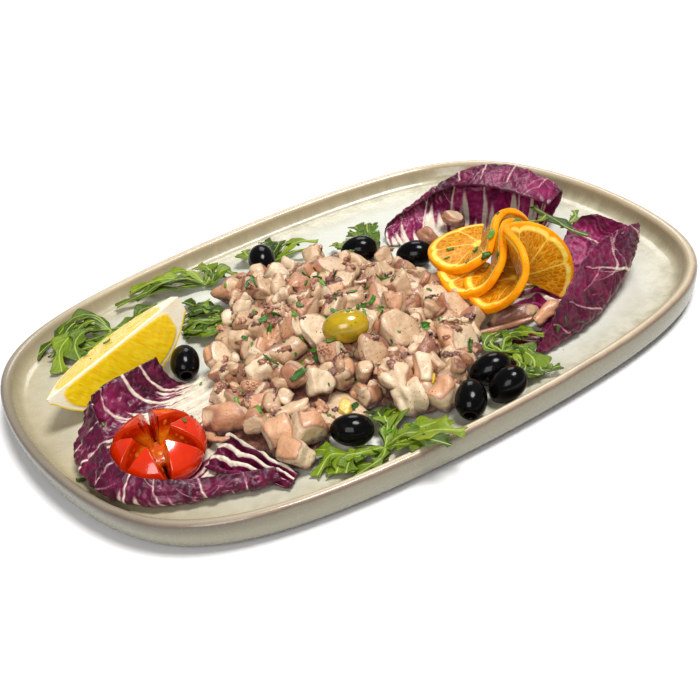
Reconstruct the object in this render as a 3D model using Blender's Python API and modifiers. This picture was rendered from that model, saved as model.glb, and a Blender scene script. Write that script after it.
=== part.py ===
# Octopus salad on an oval stoneware platter.
# The platter's centre is at X 0, Y 0, its long side runs along X and its foot stands at Z 0.

import math
import random

import bmesh
import bpy
from mathutils import Matrix, Vector

# Driving sizes of the platter, in metres
PLATTER_HALF_LENGTH = 0.180
PLATTER_HALF_WIDTH = 0.1345
PLATTER_SQUARENESS = 3.9
PLATTER_CORNER_EASE = 0.023
PLATTER_STEPS = 48
RIM_HEIGHT = 0.018
FLOOR_HEIGHT = 0.008

# Driving sizes of the food, in metres
OLIVE_LENGTH = 0.0205
OLIVE_WIDTH = 0.0152
GREEN_OLIVE_LENGTH = 0.0232
GREEN_OLIVE_WIDTH = 0.0165
PIT_HOLE_WIDTH = 0.0055
PIT_HOLE_DEPTH = 0.006
TOMATO_RADIUS = 0.0190
TOMATO_HEIGHT = 0.0220
TOMATO_WEDGES = 6
LEMON_RADIUS = 0.0287
ORANGE_RADIUS = 0.0285
ORANGE_THICKNESS = 0.0038
HEAP_CORE_RISE = 0.019
RADICCHIO_THICKNESS = 0.0011
ROCKET_THICKNESS = 0.0010

# Gaps, in metres: food stands this far above the platter, and pieces keep this far apart
REST_GAP = 0.0004
PIECE_GAP = 0.0004
HEAP_GAP = 0.0017

MM = 0.001
UP = Vector((0, 0, 1))

# Colour, roughness of each material
FINISHES = {
    "stoneware": ((0.62, 0.58, 0.50), 0.30),
    "octopus": ((0.66, 0.45, 0.35), 0.40),
    "black_olive": ((0.010, 0.009, 0.010), 0.18),
    "green_olive": ((0.36, 0.22, 0.02), 0.22),
    "tomato": ((0.55, 0.05, 0.01), 0.20),
    "lemon": ((0.72, 0.45, 0.02), 0.35),
    "orange": ((0.78, 0.30, 0.02), 0.35),
    "radicchio": ((0.16, 0.02, 0.07), 0.38),
    "rocket": ((0.10, 0.19, 0.02), 0.42),
}


def millimetres(point):
    return Vector(point) * MM


def clear_scene():
    for item in list(bpy.data.objects):
        bpy.data.objects.remove(item, do_unlink=True)


def make_folder(name):
    folder = bpy.data.collections.new(name)
    bpy.context.scene.collection.children.link(folder)
    return folder


def make_materials():
    materials = {}
    for name, (colour, roughness) in FINISHES.items():
        material = bpy.data.materials.new(name)
        material.use_nodes = True
        shader = material.node_tree.nodes["Principled BSDF"]
        shader.inputs["Base Color"].default_value = (*colour, 1.0)
        shader.inputs["Roughness"].default_value = roughness
        shader.inputs["Metallic"].default_value = 0.0
        materials[name] = material
    return materials


def add_object(name, mesh, material, folder):
    item = bpy.data.objects.new(name, mesh)
    folder.objects.link(item)
    if material:
        mesh.materials.clear()
        mesh.materials.append(material)
    return item


def object_from_bmesh(name, shape, material, folder):
    bmesh.ops.recalc_face_normals(shape, faces=shape.faces)
    mesh = bpy.data.meshes.new(name)
    shape.to_mesh(mesh)
    shape.free()
    return add_object(name, mesh, material, folder)


def bake_modifiers(item):
    # The object keeps its name and takes the mesh that its modifiers give
    bpy.context.view_layer.update()
    evaluated = item.evaluated_get(bpy.context.evaluated_depsgraph_get())
    mesh = bpy.data.meshes.new_from_object(evaluated)
    item.modifiers.clear()
    item.data = mesh


def is_closed(mesh):
    shape = bmesh.new()
    shape.from_mesh(mesh)
    closed = all(len(edge.link_faces) == 2 for edge in shape.edges)
    shape.free()
    return closed


def cut(item, cutter):
    # EXACT is tried first, and MANIFOLD where its result isn't closed
    start = item.data.copy()
    for solver in ("EXACT", "MANIFOLD"):
        item.data = start.copy()
        step = item.modifiers.new("cut", "BOOLEAN")
        step.operation = "DIFFERENCE"
        step.object = cutter
        step.solver = solver
        bake_modifiers(item)
        if is_closed(item.data):
            break


def join_all(item, folder):
    # One union of the object with every piece in the folder, whose objects are then removed
    # EXACT is tried first, and MANIFOLD where its result isn't closed
    start = item.data.copy()
    for solver in ("EXACT", "MANIFOLD"):
        item.data = start.copy()
        step = item.modifiers.new("join", "BOOLEAN")
        step.operation = "UNION"
        step.operand_type = "COLLECTION"
        step.collection = folder
        step.solver = solver
        bake_modifiers(item)
        if is_closed(item.data):
            break
    for piece in list(folder.objects):
        bpy.data.objects.remove(piece, do_unlink=True)


def connected_bodies(shape):
    # The faces of each body that hangs together
    unseen = set(shape.faces)
    bodies = []
    while unseen:
        front = [unseen.pop()]
        body = list(front)
        while front:
            face = front.pop()
            for edge in face.edges:
                for other in edge.link_faces:
                    if other in unseen:
                        unseen.remove(other)
                        front.append(other)
                        body.append(other)
        bodies.append(body)
    return bodies


def body_volume(body):
    volume = 0.0
    for face in body:
        first = face.verts[0].co
        for near, far in zip(face.verts[1:-1], face.verts[2:]):
            volume += first.dot(near.co.cross(far.co)) / 6.0
    return volume


def keep_largest_body(item):
    # Loose scraps and sealed hollows go, the largest body stays
    shape = bmesh.new()
    shape.from_mesh(item.data)
    bodies = sorted(connected_bodies(shape), key=body_volume, reverse=True)
    for body in bodies[1:]:
        bmesh.ops.delete(shape, geom=body, context="FACES")
    loose = [vertex for vertex in shape.verts if not vertex.link_faces]
    bmesh.ops.delete(shape, geom=loose, context="VERTS")
    shape.to_mesh(item.data)
    shape.free()


def tidy_mesh(item):
    # Slivers left by the cuts are dissolved, as far as the surface then stays closed
    for merge_distance in (0.00003, 0.00001, 0.000002, 0.0):
        shape = bmesh.new()
        shape.from_mesh(item.data)
        if merge_distance:
            bmesh.ops.remove_doubles(shape, verts=shape.verts, dist=merge_distance)
            bmesh.ops.dissolve_degenerate(shape, edges=shape.edges, dist=merge_distance)
        bmesh.ops.triangulate(shape, faces=shape.faces)
        closed = all(len(edge.link_faces) == 2 for edge in shape.edges)
        if closed or not merge_distance:
            shape.to_mesh(item.data)
            shape.free()
            return
        shape.free()


def flatten(item):
    # Flat faces that the joins left in many parts are made whole again, while the surface stays closed
    shape = bmesh.new()
    shape.from_mesh(item.data)
    bmesh.ops.dissolve_limit(
        shape, angle_limit=math.radians(0.6), use_dissolve_boundaries=False,
        verts=shape.verts, edges=shape.edges,
    )
    bmesh.ops.triangulate(shape, faces=shape.faces)
    if all(len(edge.link_faces) == 2 for edge in shape.edges):
        shape.to_mesh(item.data)
    shape.free()


def grown_copy(item, gap, folder):
    # A hidden cutter that is larger than the piece by the gap on every side
    mesh = item.data.copy()
    cutter = add_object(item.name + "_room", mesh, None, folder)
    shape = bmesh.new()
    shape.from_mesh(mesh)
    shape.normal_update()
    moved = [(vertex, vertex.co + vertex.normal * gap) for vertex in shape.verts]
    for vertex, place in moved:
        vertex.co = place
    shape.to_mesh(mesh)
    shape.free()
    cutter.hide_render = True
    cutter.display_type = "WIRE"
    return cutter


def smooth_room(item, gap, voxel, folder):
    # A heap's cutter is a rounder skin round all its pieces
    cutter = add_object(item.name + "_room", item.data.copy(), None, folder)
    skin = cutter.modifiers.new("skin", "REMESH")
    skin.mode = "VOXEL"
    skin.voxel_size = voxel
    thin = cutter.modifiers.new("thin", "DECIMATE")
    thin.ratio = 0.16
    swell = cutter.modifiers.new("swell", "DISPLACE")
    swell.mid_level = 0.0
    swell.strength = gap
    bake_modifiers(cutter)
    cutter.hide_render = True
    cutter.display_type = "WIRE"
    return cutter


def boxes_meet(first, second):
    low_a, high_a = object_box(first)
    low_b, high_b = object_box(second)
    return all(low_a[k] <= high_b[k] and low_b[k] <= high_a[k] for k in range(3))


def object_box(item):
    places = [item.matrix_world @ vertex.co for vertex in item.data.vertices]
    low = [min(place[k] for place in places) for k in range(3)]
    high = [max(place[k] for place in places) for k in range(3)]
    return low, high


def cut_to_neighbours(item, rooms):
    # The piece is cut back wherever it would cross another piece's room
    for room in rooms:
        if boxes_meet(item, room):
            cut(item, room)
    keep_largest_body(item)
    tidy_mesh(item)
    keep_largest_body(item)


# Platter


def outline_point(angle, inset):
    # A rounded rectangle with full corners, drawn in from the rim by the inset
    along = math.copysign(abs(math.cos(angle)) ** (2 / PLATTER_SQUARENESS), math.cos(angle))
    across = math.copysign(abs(math.sin(angle)) ** (2 / PLATTER_SQUARENESS), math.sin(angle))
    turn = math.atan2(across, along)
    ease = 1 + PLATTER_CORNER_EASE * (math.cos(4 * turn) - 1)
    return Vector((
        (PLATTER_HALF_LENGTH - inset) * ease * along,
        (PLATTER_HALF_WIDTH - inset) * ease * across,
        0,
    ))


def make_platter(material, folder):
    # The profile runs from the floor's centre up the wall, over the rim and down to the foot's centre,
    # as pairs of inset from the rim's edge and height, in millimetres
    floor = FLOOR_HEIGHT / MM
    rim = RIM_HEIGHT / MM
    centre = PLATTER_HALF_LENGTH / MM
    profile = [
        (centre, floor), (15, floor), (10.5, floor + 0.7), (7.4, floor + 2.8), (6.0, floor + 6.0),
        (4.9, rim - 1.2), (3.2, rim), (1.2, rim - 0.3), (0, rim - 1.8), (0.4, rim - 6.0),
        (1.3, rim - 11.0), (3.2, rim - 14.8), (8.0, rim - 17.0), (14, rim - 17.7), (16, 0), (centre, 0),
    ]
    shape = bmesh.new()
    corners = [shape.verts.new(((centre - inset) * MM, 0, height * MM)) for inset, height in profile]
    for upper, lower in zip(corners, corners[1:]):
        shape.edges.new((upper, lower))
    mesh = bpy.data.meshes.new("platter")
    shape.to_mesh(mesh)
    shape.free()
    platter = add_object("platter", mesh, material, folder)
    turn = platter.modifiers.new("turn", "SCREW")
    turn.steps = PLATTER_STEPS
    turn.render_steps = PLATTER_STEPS
    turn.use_merge_vertices = True
    turn.merge_threshold = 0.00001
    bake_modifiers(platter)
    # The turned disc is pressed to the platter's outline
    for vertex in platter.data.vertices:
        reach = math.hypot(vertex.co.x, vertex.co.y)
        if reach > MM:
            place = outline_point(math.atan2(vertex.co.y, vertex.co.x), PLATTER_HALF_LENGTH - reach)
            vertex.co = (place.x, place.y, vertex.co.z)
    tidy_mesh(platter)
    finish_faces(platter)
    return platter


def finish_faces(item):
    shape = bmesh.new()
    shape.from_mesh(item.data)
    bmesh.ops.recalc_face_normals(shape, faces=shape.faces)
    shape.to_mesh(item.data)
    shape.free()
    item.data.shade_smooth()
    item.data.set_sharp_from_angle(angle=math.radians(40))


# Olives

# Centre in millimetres, the way that the olive's length points, and whether its pit hole shows
BLACK_OLIVES = [
    ((-11, 68, 27), (0.45, 0.86, 0.15), False),
    ((34.5, 38.5, 25), (0.84, -0.52, 0.05), False),
    ((60, 23, 17), (0.80, -0.58, 0.02), False),
    ((-87.5, 17.5, 18.2), (-0.40, -0.80, -0.28), True),
    ((-58, -95, 17.2), (0.80, -0.55, -0.12), False),
    ((17, -101, 17), (0.86, -0.36, 0.30), False),
    ((-4.5, -114.5, 17), (-0.62, -0.66, -0.36), True),
    ((14.5, -117.5, 17), (0.70, -0.30, 0.55), False),
]
GREEN_OLIVE = ((-26, -45.5, 37.5), (0.86, -0.50, 0.06))


def make_olive(name, centre, axis, size, pitted, material, folder, cutters):
    shape = bmesh.new()
    bmesh.ops.create_uvsphere(shape, u_segments=10, v_segments=8, radius=0.5)
    length, width = size
    direction = Vector(axis).normalized()
    frame = UP.rotation_difference(direction).to_matrix().to_4x4()
    place = Matrix.Translation(millimetres(centre)) @ frame @ Matrix.Diagonal((width, width, length, 1))
    bmesh.ops.transform(shape, matrix=place, verts=shape.verts)
    olive = object_from_bmesh(name, shape, material, folder)
    if pitted:
        hole = bmesh.new()
        bmesh.ops.create_cone(
            hole, cap_ends=True, segments=8, radius1=PIT_HOLE_WIDTH / 2, radius2=PIT_HOLE_WIDTH / 2,
            depth=2 * PIT_HOLE_DEPTH,
        )
        bmesh.ops.transform(
            hole, matrix=Matrix.Translation(millimetres(centre) + direction * length / 2) @ frame,
            verts=hole.verts,
        )
        drill = object_from_bmesh(name + "_pit", hole, None, cutters)
        drill.hide_render = True
        drill.display_type = "WIRE"
        cut(olive, drill)
        tidy_mesh(olive)
    olive.data.shade_smooth()
    olive.data.set_sharp_from_angle(angle=math.radians(50))
    return olive


def make_olives(materials, folder, cutters):
    olives = []
    for number, (centre, axis, pitted) in enumerate(BLACK_OLIVES, start=1):
        olives.append(make_olive(
            f"olive_black_{number}", centre, axis, (OLIVE_LENGTH, OLIVE_WIDTH), pitted,
            materials["black_olive"], folder, cutters,
        ))
    centre, axis = GREEN_OLIVE
    olives.append(make_olive(
        "olive_green", centre, axis, (GREEN_OLIVE_LENGTH, GREEN_OLIVE_WIDTH), False,
        materials["green_olive"], folder, cutters,
    ))
    return olives


# Tomato

TOMATO_BASE = (-131.5, -41.0, 11.0)
TOMATO_REST = 0.0108
TOMATO_CORE = 0.0075
TOMATO_SPLAY = 24.0
TOMATO_TURN = math.radians(45)
TOMATO_TILT = math.radians(14)
TOMATO_FULLNESS = 2.7
TOMATO_OVERLAP = 4.0
TOMATO_TILT_AXIS = (0.889, -0.460, 0.0)
# Rings of the surface, as angles in degrees from the tomato's upright
TOMATO_RINGS = (23.5, 25.0, 32, 42, 52, 62, 72, 82, 92, 102, 112)
# A wedge's share of the way round, in degrees either side of its middle, and the narrowest gap beside it
TOMATO_SHARE = 30.0
TOMATO_GAP = 0.8


def wedge_way(polar, side):
    # A direction from the tomato's base, given in degrees, as a wedge sees it before it leans out
    polar, side = math.radians(polar), math.radians(side)
    way = Vector((math.sin(polar) * math.cos(side), math.sin(polar) * math.sin(side), math.cos(polar)))
    return Matrix.Rotation(-math.radians(TOMATO_SPLAY), 3, "Y") @ way


def wedge_reach(polar, side):
    # How far a wedge's skin is from the base in this direction
    way = wedge_way(polar, side)
    near, far = 0.0, 2 * TOMATO_HEIGHT
    for step in range(40):
        middle = (near + far) / 2
        across = middle * math.hypot(way.x, way.y) / TOMATO_RADIUS
        height = abs(middle * way.z - TOMATO_HEIGHT / 2) / (TOMATO_HEIGHT / 2)
        if across ** TOMATO_FULLNESS + height ** TOMATO_FULLNESS < 1:
            near = middle
        else:
            far = middle
    return near


def wedge_side(polar):
    # How far round, in degrees, a wedge's cut face is at this angle from the upright
    half_angle = math.pi / TOMATO_WEDGES + math.radians(TOMATO_OVERLAP)
    near, far = 0.0, TOMATO_SHARE
    for step in range(30):
        middle = (near + far) / 2
        way = wedge_way(polar, middle)
        if abs(math.atan2(way.y, way.x)) < half_angle:
            near = middle
        else:
            far = middle
    return near


def tomato_ring(polar):
    # The sides of one wedge's vertices in this ring with their distances from the base
    if polar < TOMATO_SPLAY:
        return [(TOMATO_SHARE * step / 4, TOMATO_CORE) for step in range(-4, 4)]
    side = min(wedge_side(polar), TOMATO_SHARE - 2 * TOMATO_GAP)
    if side < TOMATO_SHARE - 2 * TOMATO_GAP:
        gap = TOMATO_CORE
    else:
        gap = max(0.94 * wedge_reach(polar, TOMATO_SHARE), TOMATO_CORE)
    ring = [(-TOMATO_SHARE, gap), (-side - TOMATO_GAP, gap)]
    for step in (-1.0, -0.5, 0.0, 0.5, 1.0):
        ring.append((step * side, max(wedge_reach(polar, step * side), TOMATO_CORE)))
    return ring + [(side + TOMATO_GAP, gap)]


def make_tomato(material, folder):
    # Six wedges of one tomato, leaning out from the base that still joins them, and tipped to the front as
    # a whole. Every cut face passes through the base, so the surface is drawn as distances from there.
    shape = bmesh.new()
    tilt = Matrix.Rotation(TOMATO_TILT, 4, Vector(TOMATO_TILT_AXIS))
    place = Matrix.Translation(millimetres(TOMATO_BASE)) @ tilt @ Matrix.Rotation(TOMATO_TURN, 4, "Z")
    rings = []
    for polar in TOMATO_RINGS:
        ring = []
        slope = math.radians(polar)
        for number in range(TOMATO_WEDGES):
            for side, reach in tomato_ring(polar):
                turn = number * math.tau / TOMATO_WEDGES + math.radians(side)
                spot = Vector((math.sin(slope) * math.cos(turn), math.sin(slope) * math.sin(turn), math.cos(slope)))
                ring.append(shape.verts.new(place @ (spot * reach)))
        rings.append(ring)
    top = shape.verts.new(place @ Vector((0, 0, TOMATO_CORE)))
    bottom = shape.verts.new(place @ Vector((0, 0, -TOMATO_CORE)))
    count = len(rings[0])
    for column in range(count):
        after = (column + 1) % count
        shape.faces.new((top, rings[0][column], rings[0][after]))
        for upper, lower in zip(rings, rings[1:]):
            shape.faces.new((upper[column], lower[column], lower[after], upper[after]))
        shape.faces.new((bottom, rings[-1][after], rings[-1][column]))
    # Soft food is flat where it rests
    for vertex in shape.verts:
        vertex.co.z = max(vertex.co.z, TOMATO_REST)
    bmesh.ops.triangulate(shape, faces=shape.faces)
    tomato = object_from_bmesh("tomato", shape, material, folder)
    tidy_mesh(tomato)
    finish_faces(tomato)
    return tomato


# Lemon wedge

LEMON_LEFT = (-159.3, 20.8, 29.0)
LEMON_RIGHT = (-77.4, 31.3, 47.1)
LEMON_FRONT = math.radians(8)
LEMON_BACK = math.radians(69)
LEMON_ARC_STEPS = 7
# The lemon's radius along its length, as pairs of place from -1 to 1 and share of the full radius
LEMON_PROFILE = [
    (-1.0, 0.06), (-0.93, 0.25), (-0.8, 0.50), (-0.6, 0.76), (-0.3, 0.95), (0.0, 1.0),
    (0.3, 0.96), (0.6, 0.80), (0.8, 0.60), (0.93, 0.42), (1.0, 0.30),
]


def loft(shape, rings):
    # Sections with as many points each, joined in order and closed at both ends
    rows = [[shape.verts.new(point) for point in ring] for ring in rings]
    count = len(rows[0])
    for near, far in zip(rows, rows[1:]):
        for k in range(count):
            shape.faces.new((near[k], near[(k + 1) % count], far[(k + 1) % count], far[k]))
    shape.faces.new(rows[0])
    shape.faces.new(rows[-1])
    bmesh.ops.triangulate(shape, faces=shape.faces)


def make_lemon(material, folder):
    # A wedge of a turned lemon, whose core edge runs along the top and whose rind is below
    left = millimetres(LEMON_LEFT)
    right = millimetres(LEMON_RIGHT)
    along = (right - left).normalized()
    side = along.cross(UP).normalized()
    above = side.cross(along)
    rings = []
    for place, share in LEMON_PROFILE:
        core = left.lerp(right, (place + 1) / 2)
        ring = [core]
        for step in range(LEMON_ARC_STEPS + 1):
            angle = -LEMON_BACK + (LEMON_FRONT + LEMON_BACK) * step / LEMON_ARC_STEPS
            spoke = side * math.sin(angle) - above * math.cos(angle)
            ring.append(core + spoke * LEMON_RADIUS * share)
        rings.append(ring)
    shape = bmesh.new()
    loft(shape, rings)
    return object_from_bmesh("lemon_wedge", shape, material, folder)


# Orange twists

# Centre in millimetres, and the ways that the slice points from one cut end to the other.
# Each way is (right, up, towards the viewer) for someone who looks from the front left.
ORANGE_TWISTS = [
    ((76, -19, 31), [
        (0.15, 0.42, -0.90), (-0.6, 0.22, -0.77), (-0.97, -0.25, 0.0), (-0.55, -0.55, 0.63),
        (0.0, -0.30, 0.95), (0.14, 0.08, 0.98), (0.24, 0.43, 0.87), (0.48, 0.58, 0.66),
        (0.80, 0.48, 0.36), (0.98, 0.15, 0.0), (0.85, -0.30, -0.42),
    ]),
    ((70, -35, 27.5), [
        (-0.60, 0.15, -0.78), (-0.97, -0.25, 0.0), (-0.70, -0.60, 0.40), (-0.25, -0.55, 0.80),
        (0.08, -0.10, 0.99), (0.14, 0.40, 0.90), (0.20, 0.72, 0.66), (0.50, 0.74, 0.45),
        (0.84, 0.50, 0.20), (0.98, 0.10, -0.15), (0.82, -0.35, -0.45),
    ]),
    ((72, -56, 27), [
        (-0.80, 0.15, -0.58), (-0.97, -0.20, -0.10), (-0.72, -0.62, 0.30), (-0.30, -0.50, 0.81),
        (-0.02, -0.05, 0.99), (-0.06, 0.42, 0.90), (-0.28, 0.80, 0.52), (-0.20, 0.92, 0.33),
        (0.30, 0.93, 0.20), (0.75, 0.65, 0.08), (0.97, 0.20, -0.10), (0.86, -0.38, -0.35),
    ]),
]
VIEWER_RIGHT = Vector((0.830, -0.536, -0.158))
VIEWER_UP = Vector((0.395, 0.364, 0.843))
VIEWER_NEAR = Vector((-0.394, -0.762, 0.514))
ORANGE_STEPS = 20
ORANGE_CORE = 0.0030


def smooth_way(ways, place):
    # A smooth curve through the ways, read at a place from 0 to 1
    count = len(ways) - 1
    index = min(int(place * count), count - 1)
    part = place * count - index
    before = ways[max(index - 1, 0)]
    start = ways[index]
    finish = ways[index + 1]
    after = ways[min(index + 2, count)]
    curve = (
        2 * start + (finish - before) * part
        + (2 * before - 5 * start + 4 * finish - after) * part ** 2
        + (3 * start - before - 3 * finish + after) * part ** 3
    )
    return curve.normalized()


def make_orange_twist(number, centre, ways, material, folder):
    # A slice cut from its core to its edge and twisted, so that each half faces its own way
    middle = millimetres(centre)
    turned = [(VIEWER_RIGHT * r + VIEWER_UP * u + VIEWER_NEAR * n).normalized() for r, u, n in ways]
    rings = []
    small = 0.01
    for step in range(ORANGE_STEPS + 1):
        place = step / ORANGE_STEPS
        way = smooth_way(turned, place)
        travel = smooth_way(turned, min(place + small, 1)) - smooth_way(turned, max(place - small, 0))
        face = way.cross(travel).normalized()
        inner = face * ORANGE_THICKNESS * 0.10
        waist = face * ORANGE_THICKNESS * 0.42
        edge = face * ORANGE_THICKNESS * 0.46
        rings.append([
            middle + way * ORANGE_CORE - inner,
            middle + way * ORANGE_RADIUS * 0.35 - waist,
            middle + way * ORANGE_RADIUS - edge,
            middle + way * ORANGE_RADIUS + edge,
            middle + way * ORANGE_RADIUS * 0.35 + waist,
            middle + way * ORANGE_CORE + inner,
        ])
    shape = bmesh.new()
    loft(shape, rings)
    twist = object_from_bmesh(f"orange_twist_{number}", shape, material, folder)
    return twist


# Octopus

# Centre in millimetres, length and radius in millimetres, turn about the vertical and lean in degrees
HEAP_PIECES = [
    ((18.5, -73.5, 19), 12.0, 11.0, -62, 55), ((37, -46.5, 17.5), 12.0, 10.0, -60, 35),
    ((34.5, -31, 20.5), 12.0, 9.5, -40, 30), ((-3, -54, 28.5), 12.0, 11.5, -70, 40),
    ((-30, -14, 33), 13.0, 8.5, 10, 80), ((-48, 12, 27), 8.0, 9.5, -60, 35),
    ((11, 26, 29), 5.0, 11.0, -40, 20), ((-16, 17, 32), 14.0, 8.0, 20, 75),
    ((-29, 33, 28), 9.0, 8.0, -50, 35), ((15, 54, 21.5), 11.0, 8.0, -20, 70),
    ((-54, -31, 29), 19.0, 6.5, 5, 82), ((-34, -30, 32), 5.0, 9.5, -70, 45),
    ((-25, -94, 17), 13.0, 9.0, -30, 75), ((-11, -103, 17), 16.0, 8.0, 0, 80),
    ((-50, -71, 14), 4.5, 13.0, -60, 20), ((-72, 7, 19), 9.0, 9.0, -60, 50),
    ((-24, -82, 23), 13.0, 9.5, 20, 65), ((-61, -51, 28), 15.0, 6.5, 110, 70),
    ((-55, -64, 27), 10.0, 7.5, -80, 60), ((-82, -44, 20.5), 25.0, 3.6, -28, 88),
    ((-97, -46, 19.5), 17.0, 10.5, -20, 72), ((-86, -77, 19), 13.0, 9.5, -20, 78),
    ((-75, -85, 21.5), 12.0, 9.0, 70, 65), ((-86, -92, 17), 15.0, 7.0, 60, 60),
    ((-6, -19, 33), 16.0, 6.5, -15, 80), ((-74, -68, 22), 18.0, 4.5, -20, 85),
    ((-25, 75, 16.5), 17.0, 5.5, -30, 80), ((-35, 69, 17), 13.0, 6.0, -40, 45),
    ((46, -14, 19), 18.0, 4.5, -30, 80), ((4, -29, 32), 14.0, 6.5, 60, 70),
    ((-21, -62, 27), 5.0, 9.0, -90, 60), ((-2, -76, 25), 15.0, 6.0, 30, 75),
    ((-38, -49, 29), 12.0, 6.5, -50, 75), ((-70, -34, 27), 13.0, 7.0, -10, 70),
    ((-61, 4, 24), 11.0, 6.5, -60, 70), ((0, -94, 19), 14.0, 7.0, -30, 70),
]
# The heap's outline on the platter, in millimetres
HEAP_OUTLINE = [
    (52, -14), (48, 8), (56, 32), (32, 50), (12, 68), (-10, 76), (-30, 86), (-40, 66), (-40, 48),
    (-60, 29), (-77, 14), (-82, -14), (-100, -24), (-108, -46), (-94, -86), (-84, -98), (-66, -84),
    (-46, -72), (-32, -84), (-22, -106), (-6, -108), (18, -86), (38, -66), (48, -50),
]
HEAP_CENTRE = (-14, -14)
HEAP_FALL = 2.4
HEAP_CORE_EDGE = 3
HEAP_STEPS = 24
HEAP_FILLERS = 42
HEAP_SPACING = 11.0
HEAP_SEED = 11
# Loose pieces beside the orange and on the back leaf: centre, length, radius, turn, lean and squash
OCTOPUS_BITS = [
    ((58.5, -66.0, 14.2), 21.0, 5.0, -35, 88), ((69.5, -78.0, 15.0), 17.0, 4.0, 10, 78),
    ((46.5, -69.0, 13.0), 38.0, 1.8, -22, 88), ((99.5, 40.0, 18.0), 7.0, 6.6, -50, 25),
    ((76.5, 31.5, 17.5), 8.0, 7.2, -20, 55),
]


def heap_reach(angle):
    # Distance from the heap's centre to its outline, in millimetres
    corners = []
    for x, y in HEAP_OUTLINE:
        corners.append((math.atan2(y - HEAP_CENTRE[1], x - HEAP_CENTRE[0]),
                        math.hypot(x - HEAP_CENTRE[0], y - HEAP_CENTRE[1])))
    corners.sort()
    corners = [(corners[-1][0] - math.tau, corners[-1][1])] + corners
    corners.append((corners[1][0] + math.tau, corners[1][1]))
    for (start, near), (finish, far) in zip(corners, corners[1:]):
        if start <= angle <= finish:
            return near + (far - near) * (angle - start) / (finish - start)
    return corners[0][1]


def heap_height(x, y):
    # Height of the heap's core at a place, all in millimetres
    angle = math.atan2(y - HEAP_CENTRE[1], x - HEAP_CENTRE[0])
    share = math.hypot(x - HEAP_CENTRE[0], y - HEAP_CENTRE[1]) / heap_reach(angle)
    rise = HEAP_CORE_RISE / MM * max(0, 1 - share ** HEAP_FALL)
    return FLOOR_HEIGHT / MM + HEAP_CORE_EDGE + rise


def heap_core():
    rings = []
    for share, height in ((0.88, None), (0.95, 2.5), (0.91, 9.0), (0.6, None), (0.3, None)):
        ring = []
        for step in range(HEAP_STEPS):
            angle = -math.pi + math.tau * step / HEAP_STEPS
            reach = heap_reach(angle) * share
            x = HEAP_CENTRE[0] + reach * math.cos(angle)
            y = HEAP_CENTRE[1] + reach * math.sin(angle)
            if height is not None:
                z = FLOOR_HEIGHT / MM + height
            elif share > 0.8:
                z = (FLOOR_HEIGHT + REST_GAP) / MM
            else:
                z = heap_height(x, y)
            ring.append(millimetres((x, y, z)))
        rings.append(ring)
    return rings


def arm_piece(name, piece, sides, draw, material, folder):
    # A piece cut across an arm: a tapered barrel with flat cut ends
    centre, length, radius, turn, lean = piece
    shape = bmesh.new()
    bmesh.ops.create_cone(
        shape, cap_ends=True, segments=sides, radius1=radius * MM,
        radius2=radius * draw.uniform(0.78, 0.96) * MM, depth=length * MM,
    )
    squash = Matrix.Diagonal((1, draw.uniform(0.78, 1.0), 1, 1))
    place = (
        Matrix.Translation(millimetres(centre))
        @ Matrix.Rotation(math.radians(turn), 4, "Z")
        @ Matrix.Rotation(math.radians(lean), 4, "Y")
        @ Matrix.Rotation(draw.uniform(0, math.tau), 4, "Z")
        @ squash
    )
    bmesh.ops.transform(shape, matrix=place, verts=shape.verts)
    bmesh.ops.triangulate(shape, faces=shape.faces)
    return object_from_bmesh(name, shape, material, folder)


def filler_pieces(draw, taken):
    # Smaller pieces thrown on the heap wherever there is room between those already there
    pieces = []
    tries = 0
    while len(pieces) < HEAP_FILLERS and tries < 6000:
        tries += 1
        angle = draw.uniform(-math.pi, math.pi)
        share = math.sqrt(draw.uniform(0, 0.92))
        x = HEAP_CENTRE[0] + heap_reach(angle) * share * math.cos(angle)
        y = HEAP_CENTRE[1] + heap_reach(angle) * share * math.sin(angle)
        if any(math.hypot(x - px, y - py) < HEAP_SPACING for px, py in taken):
            continue
        taken.append((x, y))
        radius = draw.uniform(4.8, 7.2)
        length = draw.uniform(9, 15)
        lean = draw.choice((25, 60, 80, 85))
        z = max(heap_height(x, y) + draw.uniform(2.0, 4.5), FLOOR_HEIGHT / MM + radius + 1)
        pieces.append(((x, y, z), length, radius, draw.uniform(0, 360), lean))
    return pieces


def make_heap(material, folder):
    draw = random.Random(HEAP_SEED)
    shape = bmesh.new()
    loft(shape, heap_core())
    heap = object_from_bmesh("octopus_heap", shape, material, folder)
    taken = [piece[0][:2] for piece in HEAP_PIECES]
    taken += [olive[0][:2] for olive in BLACK_OLIVES[:3]] + [GREEN_OLIVE[0][:2]]
    pieces = HEAP_PIECES + filler_pieces(draw, taken)
    loose = make_folder("octopus_pieces")
    for number, piece in enumerate(pieces):
        sides = 6 if number < len(HEAP_PIECES) else 5
        arm_piece(f"arm_piece_{number}", piece, sides, draw, material, loose)
    join_all(heap, loose)
    keep_largest_body(heap)
    tidy_mesh(heap)
    return heap


def make_octopus_bits(material, folder):
    draw = random.Random(HEAP_SEED + 1)
    bits = []
    for number, piece in enumerate(OCTOPUS_BITS, start=1):
        bits.append(arm_piece(f"octopus_bit_{number}", piece, 8, draw, material, folder))
    return bits


# Radicchio

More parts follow.
